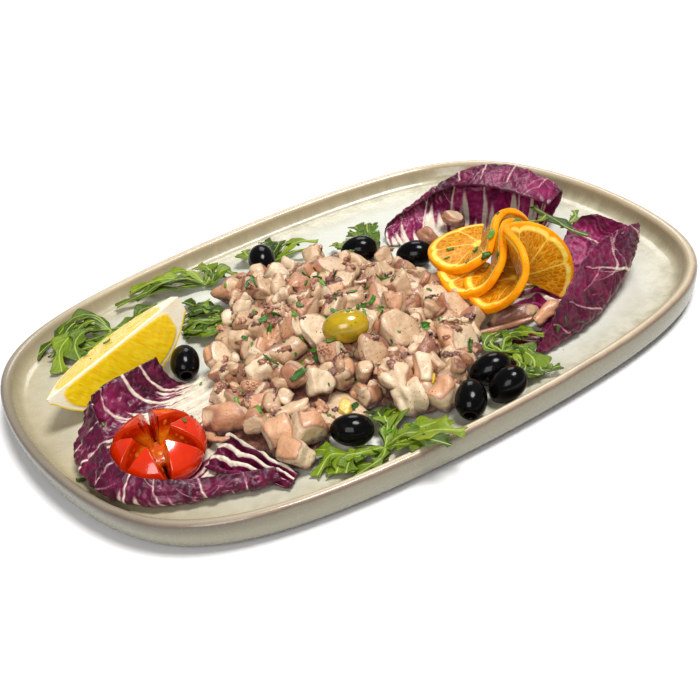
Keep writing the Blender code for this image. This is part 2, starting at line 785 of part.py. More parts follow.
# Each leaf is a cage of rows, from the heel that lies on the platter to the curled edge, in millimetres
RADICCHIO_LEFT = [
    [(-74, 15, 9.6), (-84, 13, 9.2), (-94, 12, 10), (-100, 14, 16), (-102, 16, 29)],
    [(-75, 8, 9.6), (-92, 5, 9.2), (-108, 4, 10), (-115, 7, 17), (-117, 12, 30)],
    [(-76, 0, 9.8), (-100, -4, 9.2), (-124, -1, 10), (-132, 7, 17), (-133, 14, 29)],
    [(-77, -8, 9.8), (-106, -14, 9.2), (-144, -8, 9.2), (-162, 3, 13), (-145, 3, 29)],
    [(-79, -17, 9.8), (-110, -26, 9.2), (-154, -20, 9.2), (-172, -11, 13), (-148, -20, 28)],
    [(-82, -26, 9.8), (-112, -38, 9.2), (-157, -42, 9.2), (-173, -36, 13), (-156, -42, 27)],
    [(-86, -35, 9.8), (-112, -50, 9.2), (-150, -60, 9.2), (-168, -59, 12), (-156, -58, 24.5)],
    [(-89, -43, 9.8), (-109, -60, 9.2), (-136, -75, 9.2), (-153, -78, 12), (-147, -70, 22.5)],
    [(-91, -50, 9.8), (-104, -67, 9.2), (-121, -82, 9.2), (-133, -88, 12), (-129, -81, 20)],
    [(-92, -56, 9.8), (-100, -73, 9.2), (-108, -86, 9.4), (-115, -96, 12), (-112, -89, 19)],
    [(-92, -62, 9.8), (-96, -78, 9.4), (-99, -88, 9.6), (-99, -101, 11), (-99, -95, 18)],
]
RADICCHIO_BACK = [
    [(64, 56, 9.5), (66, 62, 10), (67, 65, 12), (70, 67, 16), (76, 65, 19)],
    [(72, 46, 9.5), (76, 58, 11), (80, 66, 16), (86, 68, 22), (88, 62, 23)],
    [(82, 38, 9.5), (90, 54, 11), (98, 64, 20), (104, 64, 30), (102, 56, 29)],
    [(94, 34, 9.5), (108, 54, 11), (118, 66, 24), (120, 60, 37), (110, 47, 33)],
    [(104, 24, 9.5), (122, 42, 11), (134, 58, 26), (134, 50, 41), (112, 32, 36)],
    [(112, 12, 9.5), (130, 28, 11), (144, 44, 26), (143, 38, 41), (118, 16, 37)],
    [(118, 2, 9.5), (138, 14, 11), (151, 26, 24), (150, 20, 38), (124, 2, 34)],
    [(122, -6, 9.5), (140, 4, 11), (152, 8, 18), (154, 4, 30), (134, -5, 27)],
]
RADICCHIO_RIGHT = [
    [(44, -98, 9.2), (46, -99, 9.4), (48, -99, 10), (50, -97, 10.4), (50, -95, 10)],
    [(57, -99, 24), (60, -100.5, 14), (63, -99, 9.6), (66, -88, 9.4), (68, -78, 9.6)],
    [(66, -97, 32), (76, -100.5, 16), (78, -99, 9.8), (82, -80, 9.4), (84, -66, 9.8)],
    [(80, -90, 38), (93, -95.5, 18), (96, -93, 10.2), (100, -68, 9.4), (100, -48, 10)],
    [(98, -82, 41), (110, -89, 22), (116, -84, 12), (118, -54, 9.6), (114, -32, 10.5)],
    [(115, -76, 40.5), (127, -82, 28), (132, -75, 15), (136, -44, 11), (134, -18, 14)],
    [(131, -73.5, 38.5), (137, -76, 32), (142, -66, 20), (148, -42, 16), (144, -16, 20)],
    [(138, -73, 37), (140, -72, 34), (144, -64, 28), (148, -50, 24), (147, -30, 24)],
]
RADICCHIO_UNDER = [
    [(26, -88, 9.2), (30, -96, 9.8), (36, -104, 9.4)],
    [(34, -80, 10.4), (40, -90, 9.4), (46, -94, 10.2)],
    [(44, -76, 9.4), (50, -84, 10.8), (56, -90, 9.4)],
    [(54, -72, 10.2), (60, -80, 9.4), (64, -84, 9.8)],
]


def make_leaf(name, cage, thickness, material, folder):
    # A thin wavy solid: a coarse cage of quads, smoothed, split alike on both faces and thickened
    shape = bmesh.new()
    rows = [[shape.verts.new(millimetres(point)) for point in row] for row in cage]
    for near, far in zip(rows, rows[1:]):
        for k in range(len(near) - 1):
            shape.faces.new((near[k], near[k + 1], far[k + 1], far[k]))
    leaf = object_from_bmesh(name, shape, material, folder)
    soften = leaf.modifiers.new("soften", "SUBSURF")
    soften.levels = 1
    soften.render_levels = 1
    leaf.modifiers.new("split", "TRIANGULATE")
    thicken = leaf.modifiers.new("thicken", "SOLIDIFY")
    thicken.thickness = thickness
    thicken.offset = 0.0
    bake_modifiers(leaf)
    finish_faces(leaf)
    return leaf


# Rocket

# A bundle's core is at its first place, and each leaf is a path of three or four places with its width,
# all in millimetres
ROCKET_BUNDLES = {
    "arugula_left": ((-98, 92, 11), [
        ([(-108, 101, 14), (-124, 102, 14), (-139, 100, 10)], 18),
        ([(-112, 98, 15), (-128, 90, 14), (-135, 74, 9.8)], 17),
        ([(-100, 104, 16), (-110, 109, 18), (-122, 106, 14)], 13),
        ([(-102, 86, 12), (-112, 80, 13), (-120, 84, 12)], 16),
        ([(-86, 92, 11), (-76, 97, 12), (-66, 98, 10)], 13),
    ]),
    "arugula_left_back": ((-36, 96, 11), [
        ([(-50, 103, 13), (-66, 108, 15), (-84, 112, 12)], 13),
        ([(-42, 104, 14), (-56, 112, 17), (-72, 118, 14)], 12),
        ([(-38, 108, 16), (-46, 116, 16), (-56, 119, 14)], 12),
        ([(-30, 100, 14), (-28, 108, 15), (-30, 117, 13)], 14),
        ([(-30, 94, 12), (-24, 96, 15), (-18, 92, 12)], 13),
    ]),
    "arugula_lemon": ((-52, 60, 10.5), [
        ([(-46, 60, 11), (-52, 72, 13), (-54, 88, 11)], 14),
        ([(-44, 62, 11), (-54, 68, 14), (-63, 72, 10)], 13),
        ([(-46, 54, 11), (-60, 52, 14), (-70, 54, 10)], 15),
        ([(-52, 44, 11), (-62, 42, 14), (-68, 50, 12)], 13),
    ]),
    "arugula_back_left": ((4, 92, 10.5), [
        ([(4, 92, 11), (12, 100, 15), (13, 114, 12)], 14),
        ([(0, 92, 11), (-4, 102, 15), (0, 114, 12)], 14),
        ([(8, 92, 11), (24, 92, 15), (34, 86, 14)], 9),
    ]),
    "arugula_back": ((56, 60, 10.5), [
        ([(54, 54, 11), (55, 66, 16), (58, 82, 15)], 17),
        ([(52, 60, 11), (42, 66, 15), (38, 76, 13)], 13),
        ([(56, 58, 11), (61, 68, 14), (68, 78, 14)], 9),
    ]),
    "arugula_front": ((-50, -109, 10), [
        ([(-42, -115, 13), (-34, -127, 20.5), (-24, -141, 21)], 18),
        ([(-42, -104, 14), (-36, -96, 15), (-30, -88, 12)], 17),
        ([(-40, -110, 13), (-30, -113, 14), (-18, -114, 12)], 15),
        ([(-64, -106, 12), (-74, -101, 14), (-84, -104, 10)], 13),
        ([(-60, -114, 10), (-70, -112, 11), (-80, -107, 10)], 11),
        ([(-66, -102, 11), (-74, -95, 14), (-78, -88, 12)], 11),
    ]),
    "arugula_right": ((34, -88, 13), [
        ([(38, -97, 16), (39, -106, 14), (33, -113, 10.5)], 17),
        ([(40, -106, 13), (38, -114, 12), (46, -117, 12)], 11),
        ([(42, -84, 15), (50, -84, 15), (58, -90, 13)], 12),
        ([(30, -80, 14), (36, -74, 15), (44, -74, 14)], 10),
    ]),
    "arugula_sprig": ((115, -40, 33), [
        ([(121, -8, 31), (116, -30, 34), (113, -48, 35), (113, -62, 36)], 9),
        ([(118, -24, 33), (110, -28, 35), (104, -22, 34)], 6),
        ([(114, -42, 34), (122, -42, 36), (128, -34, 35)], 7),
    ]),
}
ROCKET_STATIONS = 5
ROCKET_TWIST = 0.35


def smooth_place(points, place):
    count = len(points) - 1
    index = min(int(place * count), count - 1)
    part = place * count - index
    before = points[max(index - 1, 0)]
    start = points[index]
    finish = points[index + 1]
    after = points[min(index + 2, count)]
    return 0.5 * (
        2 * start + (finish - before) * part
        + (2 * before - 5 * start + 4 * finish - after) * part ** 2
        + (3 * start - before - 3 * finish + after) * part ** 3
    )


def lobe_width(place, width):
    # Narrow stalk, side lobes and a broad pointed end
    spread = math.sin(math.pi * min(place * 0.92 + 0.04, 1)) ** 0.6
    lobes = 0.72 + 0.28 * math.cos(place * math.tau * 2.5 + math.pi)
    return max(width * (0.30 + 0.70 * place) * spread * lobes, 1.6) * MM


def rocket_leaf(name, path, width, material, folder):
    points = [millimetres(point) for point in path]
    shape = bmesh.new()
    rows = []
    for station in range(ROCKET_STATIONS + 1):
        place = station / ROCKET_STATIONS
        middle = smooth_place(points, place)
        travel = smooth_place(points, min(place + 0.05, 1)) - smooth_place(points, max(place - 0.05, 0))
        side = travel.cross(UP).normalized() * lobe_width(place, width) / 2
        twist = UP * side.length * ROCKET_TWIST * math.sin(place * math.tau)
        rows.append([shape.verts.new(middle - side + twist), shape.verts.new(middle + side - twist)])
    for near, far in zip(rows, rows[1:]):
        shape.faces.new((near[0], near[1], far[1], far[0]))
    leaf = object_from_bmesh(name, shape, material, folder)
    leaf.modifiers.new("split", "TRIANGULATE")
    thicken = leaf.modifiers.new("thicken", "SOLIDIFY")
    thicken.thickness = ROCKET_THICKNESS
    thicken.offset = 0.0
    bake_modifiers(leaf)
    finish_faces(leaf)
    return leaf


def make_bundle(name, core_place, leaves, material, folder):
    # Leaves that meet in a small flat core
    shape = bmesh.new()
    bmesh.ops.create_icosphere(shape, subdivisions=1, radius=1)
    bmesh.ops.scale(shape, vec=(0.009, 0.008, 0.0016), verts=shape.verts)
    bmesh.ops.translate(shape, vec=millimetres(core_place), verts=shape.verts)
    bundle = object_from_bmesh(name, shape, material, folder)
    loose = make_folder(name + "_leaves")
    for number, (path, width) in enumerate(leaves):
        rocket_leaf(f"{name}_leaf_{number}", [core_place] + path, width, material, loose)
    join_all(bundle, loose)
    keep_largest_body(bundle)
    tidy_mesh(bundle)
    return bundle


def main():
    clear_scene()
    materials = make_materials()
    folder = make_folder("octopus_salad")
    cutters = make_folder("cutters")

    platter = make_platter(materials["stoneware"], folder)
    rooms = [grown_copy(platter, REST_GAP, cutters)]
    for olive in make_olives(materials, folder, cutters):
        rooms.append(grown_copy(olive, PIECE_GAP, cutters))

    firm = [make_tomato(materials["tomato"], folder), make_lemon(materials["lemon"], folder)]
    for number, (centre, ways) in reversed(list(enumerate(ORANGE_TWISTS, start=1))):
        firm.append(make_orange_twist(number, centre, ways, materials["orange"], folder))
    firm += make_octopus_bits(materials["octopus"], folder)
    for piece in firm:
        cut_to_neighbours(piece, rooms)
        rooms.append(grown_copy(piece, PIECE_GAP, cutters))

    heap = make_heap(materials["octopus"], folder)
    cut_to_neighbours(heap, rooms)
    flatten(heap)
    rooms.append(smooth_room(heap, HEAP_GAP, 0.0025, cutters))

    cages = {
        "radicchio_left": RADICCHIO_LEFT, "radicchio_back": RADICCHIO_BACK,
        "radicchio_right": RADICCHIO_RIGHT, "radicchio_under": RADICCHIO_UNDER,
    }
    for name, cage in cages.items():
        leaf = make_leaf(name, cage, RADICCHIO_THICKNESS, materials["radicchio"], folder)
        cut_to_neighbours(leaf, rooms)
        rooms.append(grown_copy(leaf, PIECE_GAP, cutters))
    for name, (core_place, leaves) in ROCKET_BUNDLES.items():
        bundle = make_bundle(name, core_place, leaves, materials["rocket"], folder)
        cut_to_neighbours(bundle, rooms)
        rooms.append(grown_copy(bundle, PIECE_GAP, cutters))


main()
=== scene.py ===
# Octopus salad with olives, radicchio, rocket, lemon, tomato and orange on a glazed platter
import bmesh
import bpy
import math
import numpy as np
import random
from mathutils import Matrix, Vector, noise
from mathutils.bvhtree import BVHTree


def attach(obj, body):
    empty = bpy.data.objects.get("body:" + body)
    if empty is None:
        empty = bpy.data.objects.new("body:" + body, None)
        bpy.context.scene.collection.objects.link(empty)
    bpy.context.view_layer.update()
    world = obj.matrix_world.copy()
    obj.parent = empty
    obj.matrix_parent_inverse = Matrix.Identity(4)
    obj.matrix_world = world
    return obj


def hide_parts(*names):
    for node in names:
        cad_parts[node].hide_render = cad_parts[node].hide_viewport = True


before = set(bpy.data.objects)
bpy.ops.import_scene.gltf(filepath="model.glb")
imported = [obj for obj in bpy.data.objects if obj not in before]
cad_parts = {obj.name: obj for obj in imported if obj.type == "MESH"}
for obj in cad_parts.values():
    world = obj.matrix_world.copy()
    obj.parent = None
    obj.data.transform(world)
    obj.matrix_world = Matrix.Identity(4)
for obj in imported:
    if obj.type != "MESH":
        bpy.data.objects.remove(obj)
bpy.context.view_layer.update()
mm = 0.001
up = Vector((0, 0, 1))
bpy.ops.object.select_all(action="DESELECT")


# Meshes from patches: each patch is points, faces and one UV place for each point, with named numbers

def spread(value, shape):
    return np.broadcast_to(np.asarray(value, dtype=float), shape)


def gridPatch(points, **numbers):
    points = np.asarray(points, dtype=float)
    rows, columns = points.shape[:2]
    index = np.arange(rows * columns).reshape(rows, columns)
    faces = np.stack([index[:-1, :-1], index[:-1, 1:], index[1:, 1:], index[1:, :-1]], -1).reshape(-1, 4)
    across, along = np.meshgrid(np.linspace(0, 1, columns), np.linspace(0, 1, rows))
    patch = {"points": points.reshape(-1, 3), "faces": faces, "uv": np.stack([across, along], -1).reshape(-1, 2)}
    patch.update((key, spread(value, (rows, columns)).reshape(-1)) for key, value in numbers.items())
    return patch


def joinPatches(patches):
    joined = {key: np.concatenate([patch[key] for patch in patches]) for key in patches[0] if key != "faces"}
    starts = np.cumsum([0] + [len(patch["points"]) for patch in patches])
    joined["faces"] = np.concatenate([patch["faces"] + start for patch, start in zip(patches, starts)])
    return joined


def addPiece(name, patches, material, slot, *nodes):
    patch = joinPatches(patches)
    mesh = bpy.data.meshes.new(name)
    mesh.from_pydata(patch["points"].tolist(), [], patch["faces"].tolist())
    for key in patch:
        if key not in ("points", "faces", "uv"):
            mesh.attributes.new(key, "FLOAT", "POINT").data.foreach_set("value", patch[key].astype(np.float32))
    layer = mesh.uv_layers.new(name="UVMap")
    corners = np.empty(len(mesh.loops), dtype=np.int32)
    mesh.loops.foreach_get("vertex_index", corners)
    layer.data.foreach_set("uv", patch["uv"][corners].astype(np.float32).reshape(-1))
    # Points that meet are merged, so that closed surfaces shade without a seam
    shape = bmesh.new()
    shape.from_mesh(mesh)
    bmesh.ops.remove_doubles(shape, verts=shape.verts, dist=0.000002)
    bmesh.ops.recalc_face_normals(shape, faces=shape.faces)
    shape.to_mesh(mesh)
    shape.free()
    mesh.shade_smooth()
    mesh.materials.append(material)
    piece = bpy.data.objects.new(name, mesh)
    bpy.context.scene.collection.objects.link(piece)
    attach(piece, "root")
    if nodes:
        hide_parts(*nodes)


def moved(patch, matrix):
    array = np.array(matrix)
    return {**patch, "points": patch["points"] @ array[:3, :3].T + array[:3, 3]}


def shift(place):
    return Matrix.Translation(Vector(place) * mm)


def spin(angle, axis):
    return Matrix.Rotation(angle, 4, axis)


def facing(way):
    # The turn that brings Z to a way
    return up.rotation_difference(way).to_matrix().to_4x4()


def smoothRow(points, place):
    # A smooth curve through the points, read at a place from 0 to 1
    count = len(points) - 1
    index = min(int(place * count), count - 1)
    part = place * count - index
    before, start, finish = points[max(index - 1, 0)], points[index], points[index + 1]
    after = points[min(index + 2, count)]
    return 0.5 * (
        2 * start + (finish - before) * part
        + (2 * before - 5 * start + 4 * finish - after) * part ** 2
        + (3 * start - before - 3 * finish + after) * part ** 3
    )


# Materials: a look adds shader nodes, and the values that it gives take part in sums

def srgb(red, green, blue):
    # A colour as it reads in the photograph, from 0 to 255, in Blender's linear values
    return tuple(((c / 255 + 0.055) / 1.055) ** 2.4 if c > 10 else c / 255 / 12.92 for c in (red, green, blue))


def shade(colour):
    # A number is a grey
    return (colour, colour, colour, 1) if isinstance(colour, (int, float)) else (*srgb(*colour), 1)


class Value:
    def __init__(self, look, socket):
        self.look, self.socket = look, socket

    def __add__(self, other):
        return self.look.math("ADD", self, other)

    def __sub__(self, other):
        return self.look.math("SUBTRACT", self, other)

    def __rsub__(self, other):
        return self.look.math("SUBTRACT", other, self)

    def __mul__(self, other):
        return self.look.math("MULTIPLY", self, other)

    def __abs__(self):
        return self.look.math("ABSOLUTE", self)


class Look:
    def __init__(self, name, **settings):
        self.material = bpy.data.materials.new(name)
        self.material.use_nodes = True
        self.tree = self.material.node_tree
        self.shader = self.tree.nodes["Principled BSDF"]
        for socket, value in settings.items():
            self.shader.inputs[socket.replace("_", " ")].default_value = value
        self.place = self.mapped("Object")

    def put(self, value, socket):
        if isinstance(value, Value):
            self.tree.links.new(value.socket, socket)
        else:
            socket.default_value = value

    def add(self, kind, inputs, output=0, **options):
        node = self.tree.nodes.new("ShaderNode" + kind)
        for key, value in options.items():
            setattr(node, key, value)
        for socket, value in inputs.items():
            self.put(value, node.inputs[socket])
        return Value(self, node.outputs[output])

    def mapped(self, kind, stretch=(1, 1, 1)):
        return self.add("Mapping", {"Vector": self.add("TexCoord", {}, kind), "Scale": stretch})

    def math(self, operation, *values):
        return self.add("Math", dict(enumerate(values)), operation=operation)

    def number(self, name):
        return self.add("Attribute", {}, "Fac", attribute_name=name)

    def parts(self, vector):
        node = self.add("SeparateXYZ", {"Vector": vector}).socket.node
        return [Value(self, output) for output in node.outputs]

    def noise(self, scale, detail=3.0, roughness=0.55, place=None):
        inputs = {"Vector": place or self.place, "Scale": scale, "Detail": detail, "Roughness": roughness}
        return self.add("TexNoise", inputs, "Fac")

    def spots(self, scale, place=None, feature="F1"):
        inputs = {"Vector": place or self.place, "Scale": scale}
        return self.add("TexVoronoi", inputs, "Distance", feature=feature)

    def ramp(self, factor, *stops):
        # Each stop is a place and a colour
        result = self.add("ValToRGB", {"Fac": factor}, "Color")
        row = result.socket.node.color_ramp.elements
        row.remove(row[1])
        for count, (place, colour) in enumerate(stops):
            element = row.new(place) if count else row[0]
            element.position = place
            element.color = shade(colour)
        return result

    def mix(self, factor, *colours):
        result = self.add("Mix", {0: factor}, 2, data_type="RGBA")
        for colour, socket in zip(colours, result.socket.node.inputs[6:8]):
            self.put(colour if isinstance(colour, Value) else shade(colour), socket)
        return result

    def bump(self, height, strength, distance):
        return self.add("Bump", {"Height": height, "Strength": strength, "Distance": distance})

    def done(self, colour, rough=None, bump=None):
        for socket, value in {"Base Color": colour, "Roughness": rough, "Normal": bump}.items():
            if value:
                self.put(value, self.shader.inputs[socket])
        return self.material


# Camera, lights and floor

cameraSettings = {
    "place": (-0.29727, -0.57009, 0.37791),
    "forward": (0.394087, 0.761887, -0.514027),
    "up": (0.395459, 0.364300, 0.843148),
    "lens": 72.36,
}


def addCamera():
    data = bpy.data.cameras.new("camera")
    data.lens = cameraSettings["lens"]
    data.sensor_width = 36
    camera = bpy.data.objects.new("camera", data)
    bpy.context.scene.collection.objects.link(camera)
    backward = -Vector(cameraSettings["forward"]).normalized()
    right = Vector(cameraSettings["up"]).cross(backward).normalized()
    above = backward.cross(right)
    turn = Matrix((right, above, backward)).transposed().to_4x4()
    camera.matrix_world = Matrix.Translation(cameraSettings["place"]) @ turn
    bpy.context.scene.camera = camera


lightSettings = {
    "key": {"place": (0.25, -0.30, 1.25), "angle": 0.38, "power": 3.1},
    "back": {"place": (0.60, 0.75, 0.90), "size": 0.5, "power": 4.0},
    "side": {"place": (-0.75, -0.75, 0.70), "size": 0.6, "power": 6.5},
}
worldLight = 0.20


def addLights():
    for name, settings in lightSettings.items():
        if "angle" in settings:
            data = bpy.data.lights.new(name, "SUN")
            data.angle = settings["angle"]
        else:
            data = bpy.data.lights.new(name, "AREA")
            data.size = settings["size"]
        data.energy = settings["power"]
        light = bpy.data.objects.new(name, data)
        bpy.context.scene.collection.objects.link(light)
        light.location = settings["place"]
        aim = Vector((0, 0, 0.01)) - light.location
        light.rotation_euler = aim.to_track_quat("-Z", "Y").to_euler()
    world = bpy.data.worlds.new("studio")
    world.use_nodes = True
    background = world.node_tree.nodes["Background"]
    background.inputs["Color"].default_value = (1, 1, 1, 1)
    background.inputs["Strength"].default_value = worldLight
    bpy.context.scene.world = world
    bpy.context.scene.view_settings.view_transform = "Standard"


def addFloor():
    bpy.ops.mesh.primitive_plane_add(size=60, location=(0, 0, -0.0002))
    floor = bpy.context.object
    floor.name = "studio_floor"
    look = Look("studio_floor", Roughness=0.9)
    floor.data.materials.append(look.done(look.ramp(look.noise(30.0), (0.0, 0.83), (1.0, 0.86))))


addCamera()
addLights()
addFloor()
print("scene: camera, lights and floor")


# Platter

platterSettings = {
    "halfLength": 180, "halfWidth": 134.5, "squareness": 3.9, "cornerEase": 0.023,
    "rim": 18, "floor": 8, "steps": 224,
}


def signedPower(value, exponent):
    return math.copysign(abs(value) ** exponent, value)


def outlinePoint(angle, inset):
    # A rounded rectangle drawn in from the rim by the inset, in millimetres
    settings = platterSettings
    along, across = (signedPower(way(angle), 2 / settings["squareness"]) for way in (math.cos, math.sin))
    ease = 1 + settings["cornerEase"] * (math.cos(4 * math.atan2(across, along)) - 1)
    return (settings["halfLength"] - inset) * ease * along, (settings["halfWidth"] - inset) * ease * across


def evenAngle(step, steps):
    # Angles whose places on the outline lie about evenly, so that the corners stay round
    turn = math.tau * step / steps
    exponent = platterSettings["squareness"] / 2
    return math.atan2(signedPower(math.sin(turn), exponent), signedPower(math.cos(turn), exponent))

def platterProfile():
    # Inset from the rim's edge, height and the glaze's place from 0 at the centre to 1 at the foot
    floor = platterSettings["floor"]
    rim = platterSettings["rim"]
    return [
        (179.5, floor, 0.0), (150, floor, 0.02), (110, floor, 0.05), (70, floor, 0.10), (40, floor, 0.16),
        (28, floor, 0.22), (20, floor, 0.28), (15, floor + 0.05, 0.33), (12, floor + 0.35, 0.36),
        (10.2, floor + 0.9, 0.39), (8.8, floor + 1.8, 0.42), (7.7, floor + 3.0, 0.45), (6.9, floor + 4.4, 0.48),
        (6.2, floor + 6.0, 0.51), (5.6, rim - 2.4, 0.54), (5.0, rim - 1.4, 0.56), (4.2, rim - 0.6, 0.58),
        (3.2, rim - 0.1, 0.60), (2.2, rim - 0.05, 0.62), (1.2, rim - 0.35, 0.64), (0.45, rim - 1.0, 0.66),
        (0.1, rim - 1.9, 0.68), (0.05, rim - 3.2, 0.70), (0.25, rim - 5.0, 0.74), (0.6, rim - 7.0, 0.78),
        (1.0, rim - 9.0, 0.82), (1.5, rim - 11.2, 0.86), (2.3, rim - 13.2, 0.89), (3.6, rim - 14.9, 0.91),
        (5.6, rim - 16.3, 0.93), (8.4, rim - 17.1, 0.95), (12, rim - 17.5, 0.96), (14, rim - 17.8, 0.97),
        (16, 0.02, 0.98), (60, 0.0, 0.99), (179.5, 0.0, 1.0),
    ]


def glazeMaterial():
    # Pale pooled glaze inside, tan where it breaks over the rim, olive grey outside
    look = Look("reactive_glaze", Roughness=0.22, Coat_Weight=0.25, Coat_Roughness=0.08)
    edge = look.number("glaze")
    wander = look.noise(38.0, 4.0)
    streaks = look.noise(170.0, 4.0, 0.6, look.mapped("Object", (1, 1, 0.18)))
    # Along the profile the lightest band, on top of the rim, is a painted highlight, and the dark band near the
    # foot is painted shadow
    glaze = look.ramp(
        edge + (wander - 0.5) * 0.045 + (streaks - 0.5) * 0.012,
        (0.00, (222, 225, 216)), (0.20, (220, 221, 208)), (0.30, (208, 204, 184)), (0.38, (192, 184, 156)),
        (0.46, (172, 160, 130)), (0.54, (158, 138, 106)), (0.575, (190, 172, 140)), (0.62, (206, 190, 162)),
        (0.655, (152, 128, 104)), (0.675, (102, 84, 74)), (0.70, (134, 126, 102)), (0.82, (146, 142, 120)),
        (0.90, (136, 130, 110)), (0.935, (92, 84, 72)), (0.96, (150, 140, 122)),
    )
    mottle = look.noise(260.0, 5.0, 0.7)
    glaze = look.mix(look.ramp(mottle, (0.35, 0.0), (0.75, 0.16)), glaze, (150, 138, 112))
    # Painted shade darkens the rim at the far left end
    left = look.parts(look.place)[0] * -2.8 + 0.5
    ends = look.ramp(left, (0.72, 0.0), (1.0, 1.0))
    rim = look.ramp(edge, (0.46, 0.0), (0.55, 1.0), (0.72, 1.0), (0.80, 0.15))
    glaze = look.mix(ends * rim * 0.75, glaze, (92, 86, 78))
    # Olive streaks run down the inner wall into the pooled glaze
    wall = look.ramp(edge, (0.20, 0.0), (0.34, 0.55), (0.52, 0.8), (0.57, 0.0))
    runs = look.ramp(look.noise(120.0, 5.0, 0.65, look.mapped("Object", (1, 1, 0.1))), (0.42, 0.0), (0.66, 1.0))
    glaze = look.mix(wall * runs, glaze, (146, 138, 108))
    # Painted shade: the floor and the inner wall grow darker towards the left end
    inner = look.ramp(edge, (0.0, 0.6), (0.10, 1.0), (0.50, 1.0), (0.60, 0.0))
    glaze = look.mix(look.ramp(left, (0.62, 0.0), (1.0, 0.75)) * inner, glaze, (172, 160, 128))
    pits = look.ramp(look.spots(900.0), (0.0, 1.0), (0.13, 0.0))
    pits *= look.ramp(look.noise(300.0), (0.55, 0.0), (0.65, 0.8))
    glaze = look.mix(pits, glaze, (120, 104, 80))
    rough = look.ramp(mottle + edge * 0.1, (0.3, 0.16), (0.8, 0.34))
    return look.done(glaze, rough, look.bump(wander * 0.8 + mottle * 0.12, 0.35, 0.0006))


def addPlatter():
    profile = platterProfile()
    steps = platterSettings["steps"]
    rows = []
    for inset, height, place in profile:
        row = []
        for step in range(steps + 1):
            x, y = outlinePoint(evenAngle(step, steps), inset)
            # The wall is thrown by hand, so it wanders a little in height
            wander = 0.22 * noise.noise(Vector((x / 60, y / 60, 3.0))) if 0.5 < place < 0.9 else 0
            row.append((x * mm, y * mm, (height + min(wander, 0)) * mm))
        rows.append(row)
    patch = gridPatch(rows, glaze=np.array([[place] for inset, height, place in profile]))
    addPiece("platter_glazed", [patch], glazeMaterial(), "stoneware", "platter")


addPlatter()
print("scene: platter")


# Olives

oliveSettings = {
    "black": [
        ((-11, 68, 27), (0.45, 0.86, 0.15), False), ((34.5, 38.5, 25), (0.84, -0.52, 0.05), False),
        ((60, 23, 17), (0.80, -0.58, 0.02), False), ((-87.5, 17.5, 18.2), (-0.40, -0.80, -0.28), True),
        ((-58, -95, 17.2), (0.80, -0.55, -0.12), False), ((17, -101, 17), (0.86, -0.36, 0.30), False),
        ((-4.5, -114.5, 17), (-0.62, -0.66, -0.36), True), ((14.5, -117.5, 17), (0.70, -0.30, 0.55), False),
    ],
    "green": ((-26, -45.5, 37.5), (0.86, -0.50, 0.06), False),
    "blackSize": (20.5, 15.2), "greenSize": (23.2, 16.5), "hole": 2.75, "holeDepth": 6.0,
    "steps": 26, "columns": 36, "uneven": 0.018,
}


def olivePatch(centre, axis, pitted, size, seed):
    # Turned profile, with a pit hole where one shows, slightly uneven all round
    settings = oliveSettings
    length, width = size
    profile = []
    for step in range(settings["steps"] + 1):
        turn = math.pi * step / settings["steps"]
        taper = 1 - 0.05 * math.cos(turn)
        profile.append([math.sin(turn) ** 0.94 * width / 2 * taper, -math.cos(turn) * length / 2])
    profile[0][0] = profile[-1][0] = 0.0001
    if pitted:
        hole, depth = settings["hole"], settings["holeDepth"]
        kept = [point for point in profile if point[0] > hole + 0.5 or point[1] < 0]
        top = kept[-1][1]
        profile = kept + [[hole + 0.25, top + 0.25], [hole, top], [hole - 0.2, top - 0.8], [hole - 0.3, top - 3],
                          [hole - 0.4, top - depth], [0.0001, top - depth]]
    rows = []
    for radius, height in profile:
        row = []
        for column in range(settings["columns"] + 1):
            turn = math.tau * column / settings["columns"]
            x, y = radius * math.cos(turn), radius * math.sin(turn)
            sway = noise.noise(Vector((x / 7, y / 7, height / 7 + seed * 9)))
            grow = 1 + settings["uneven"] * sway
            row.append((x * grow * mm, y * grow * mm, height * mm))
        rows.append(row)
    return moved(gridPatch(rows, tone=(seed * 0.37) % 1), shift(centre) @ facing(Vector(axis).normalized()))


def blackOliveMaterial():
    look = Look("black_olive_skin", Roughness=0.2, Specular_IOR_Level=0.1, Coat_Weight=0.15, Coat_Roughness=0.04)
    tint = look.ramp(look.noise(190.0, 4.0), (0.4, (5, 5, 6)), (0.62, (10, 8, 8)), (0.8, (26, 17, 14)))
    rough = look.ramp(look.noise(420.0, 4.0), (0.3, 0.10), (0.8, 0.30))
    return look.done(tint, rough, look.bump(look.noise(900.0, 4.0), 0.12, 0.0004))


def greenOliveMaterial():
    look = Look("green_olive_skin", Roughness=0.2, Coat_Weight=0.5, Coat_Roughness=0.06, Subsurface_Weight=0.15,
                Subsurface_Scale=0.002)
    body = look.ramp(look.noise(85.0), (0.3, (150, 124, 6)), (0.55, (184, 152, 14)), (0.75, (200, 166, 30)))
    body = look.mix(look.ramp(look.spots(700.0), (0.05, 0.35), (0.22, 0.0)), body, (120, 96, 10))
    rough = look.ramp(look.noise(300.0), (0.3, 0.14), (0.8, 0.3))
    return look.done(body, rough, look.bump(look.noise(260.0, 5.0), 0.25, 0.0004))


def addOlives():
    settings = oliveSettings
    size = settings["blackSize"]
    black = [olivePatch(*olive, size, count) for count, olive in enumerate(settings["black"], 1)]
    nodes = [f"olive_black_{count + 1}" for count in range(len(black))]
    addPiece("olives_black", black, blackOliveMaterial(), "black_olive", *nodes)
    green = olivePatch(*settings["green"], settings["greenSize"], 12)
    addPiece("olive_whole_green", [green], greenOliveMaterial(), "green_olive", "olive_green")


addOlives()
print("scene: olives")


# Tomato

tomatoSettings = {
    "base": (-131.5, -41.0, 11.0), "radius": 19.0, "height": 22.0, "splay": 24, "turn": 45, "wedges": 6,
    "overlap": 4, "tilt": 14, "fullness": 2.7, "tiltAxis": (0.889, -0.460, 0.0), "rest": 10.85,
    "heart": (9.5, 4.2, 3.0),
}


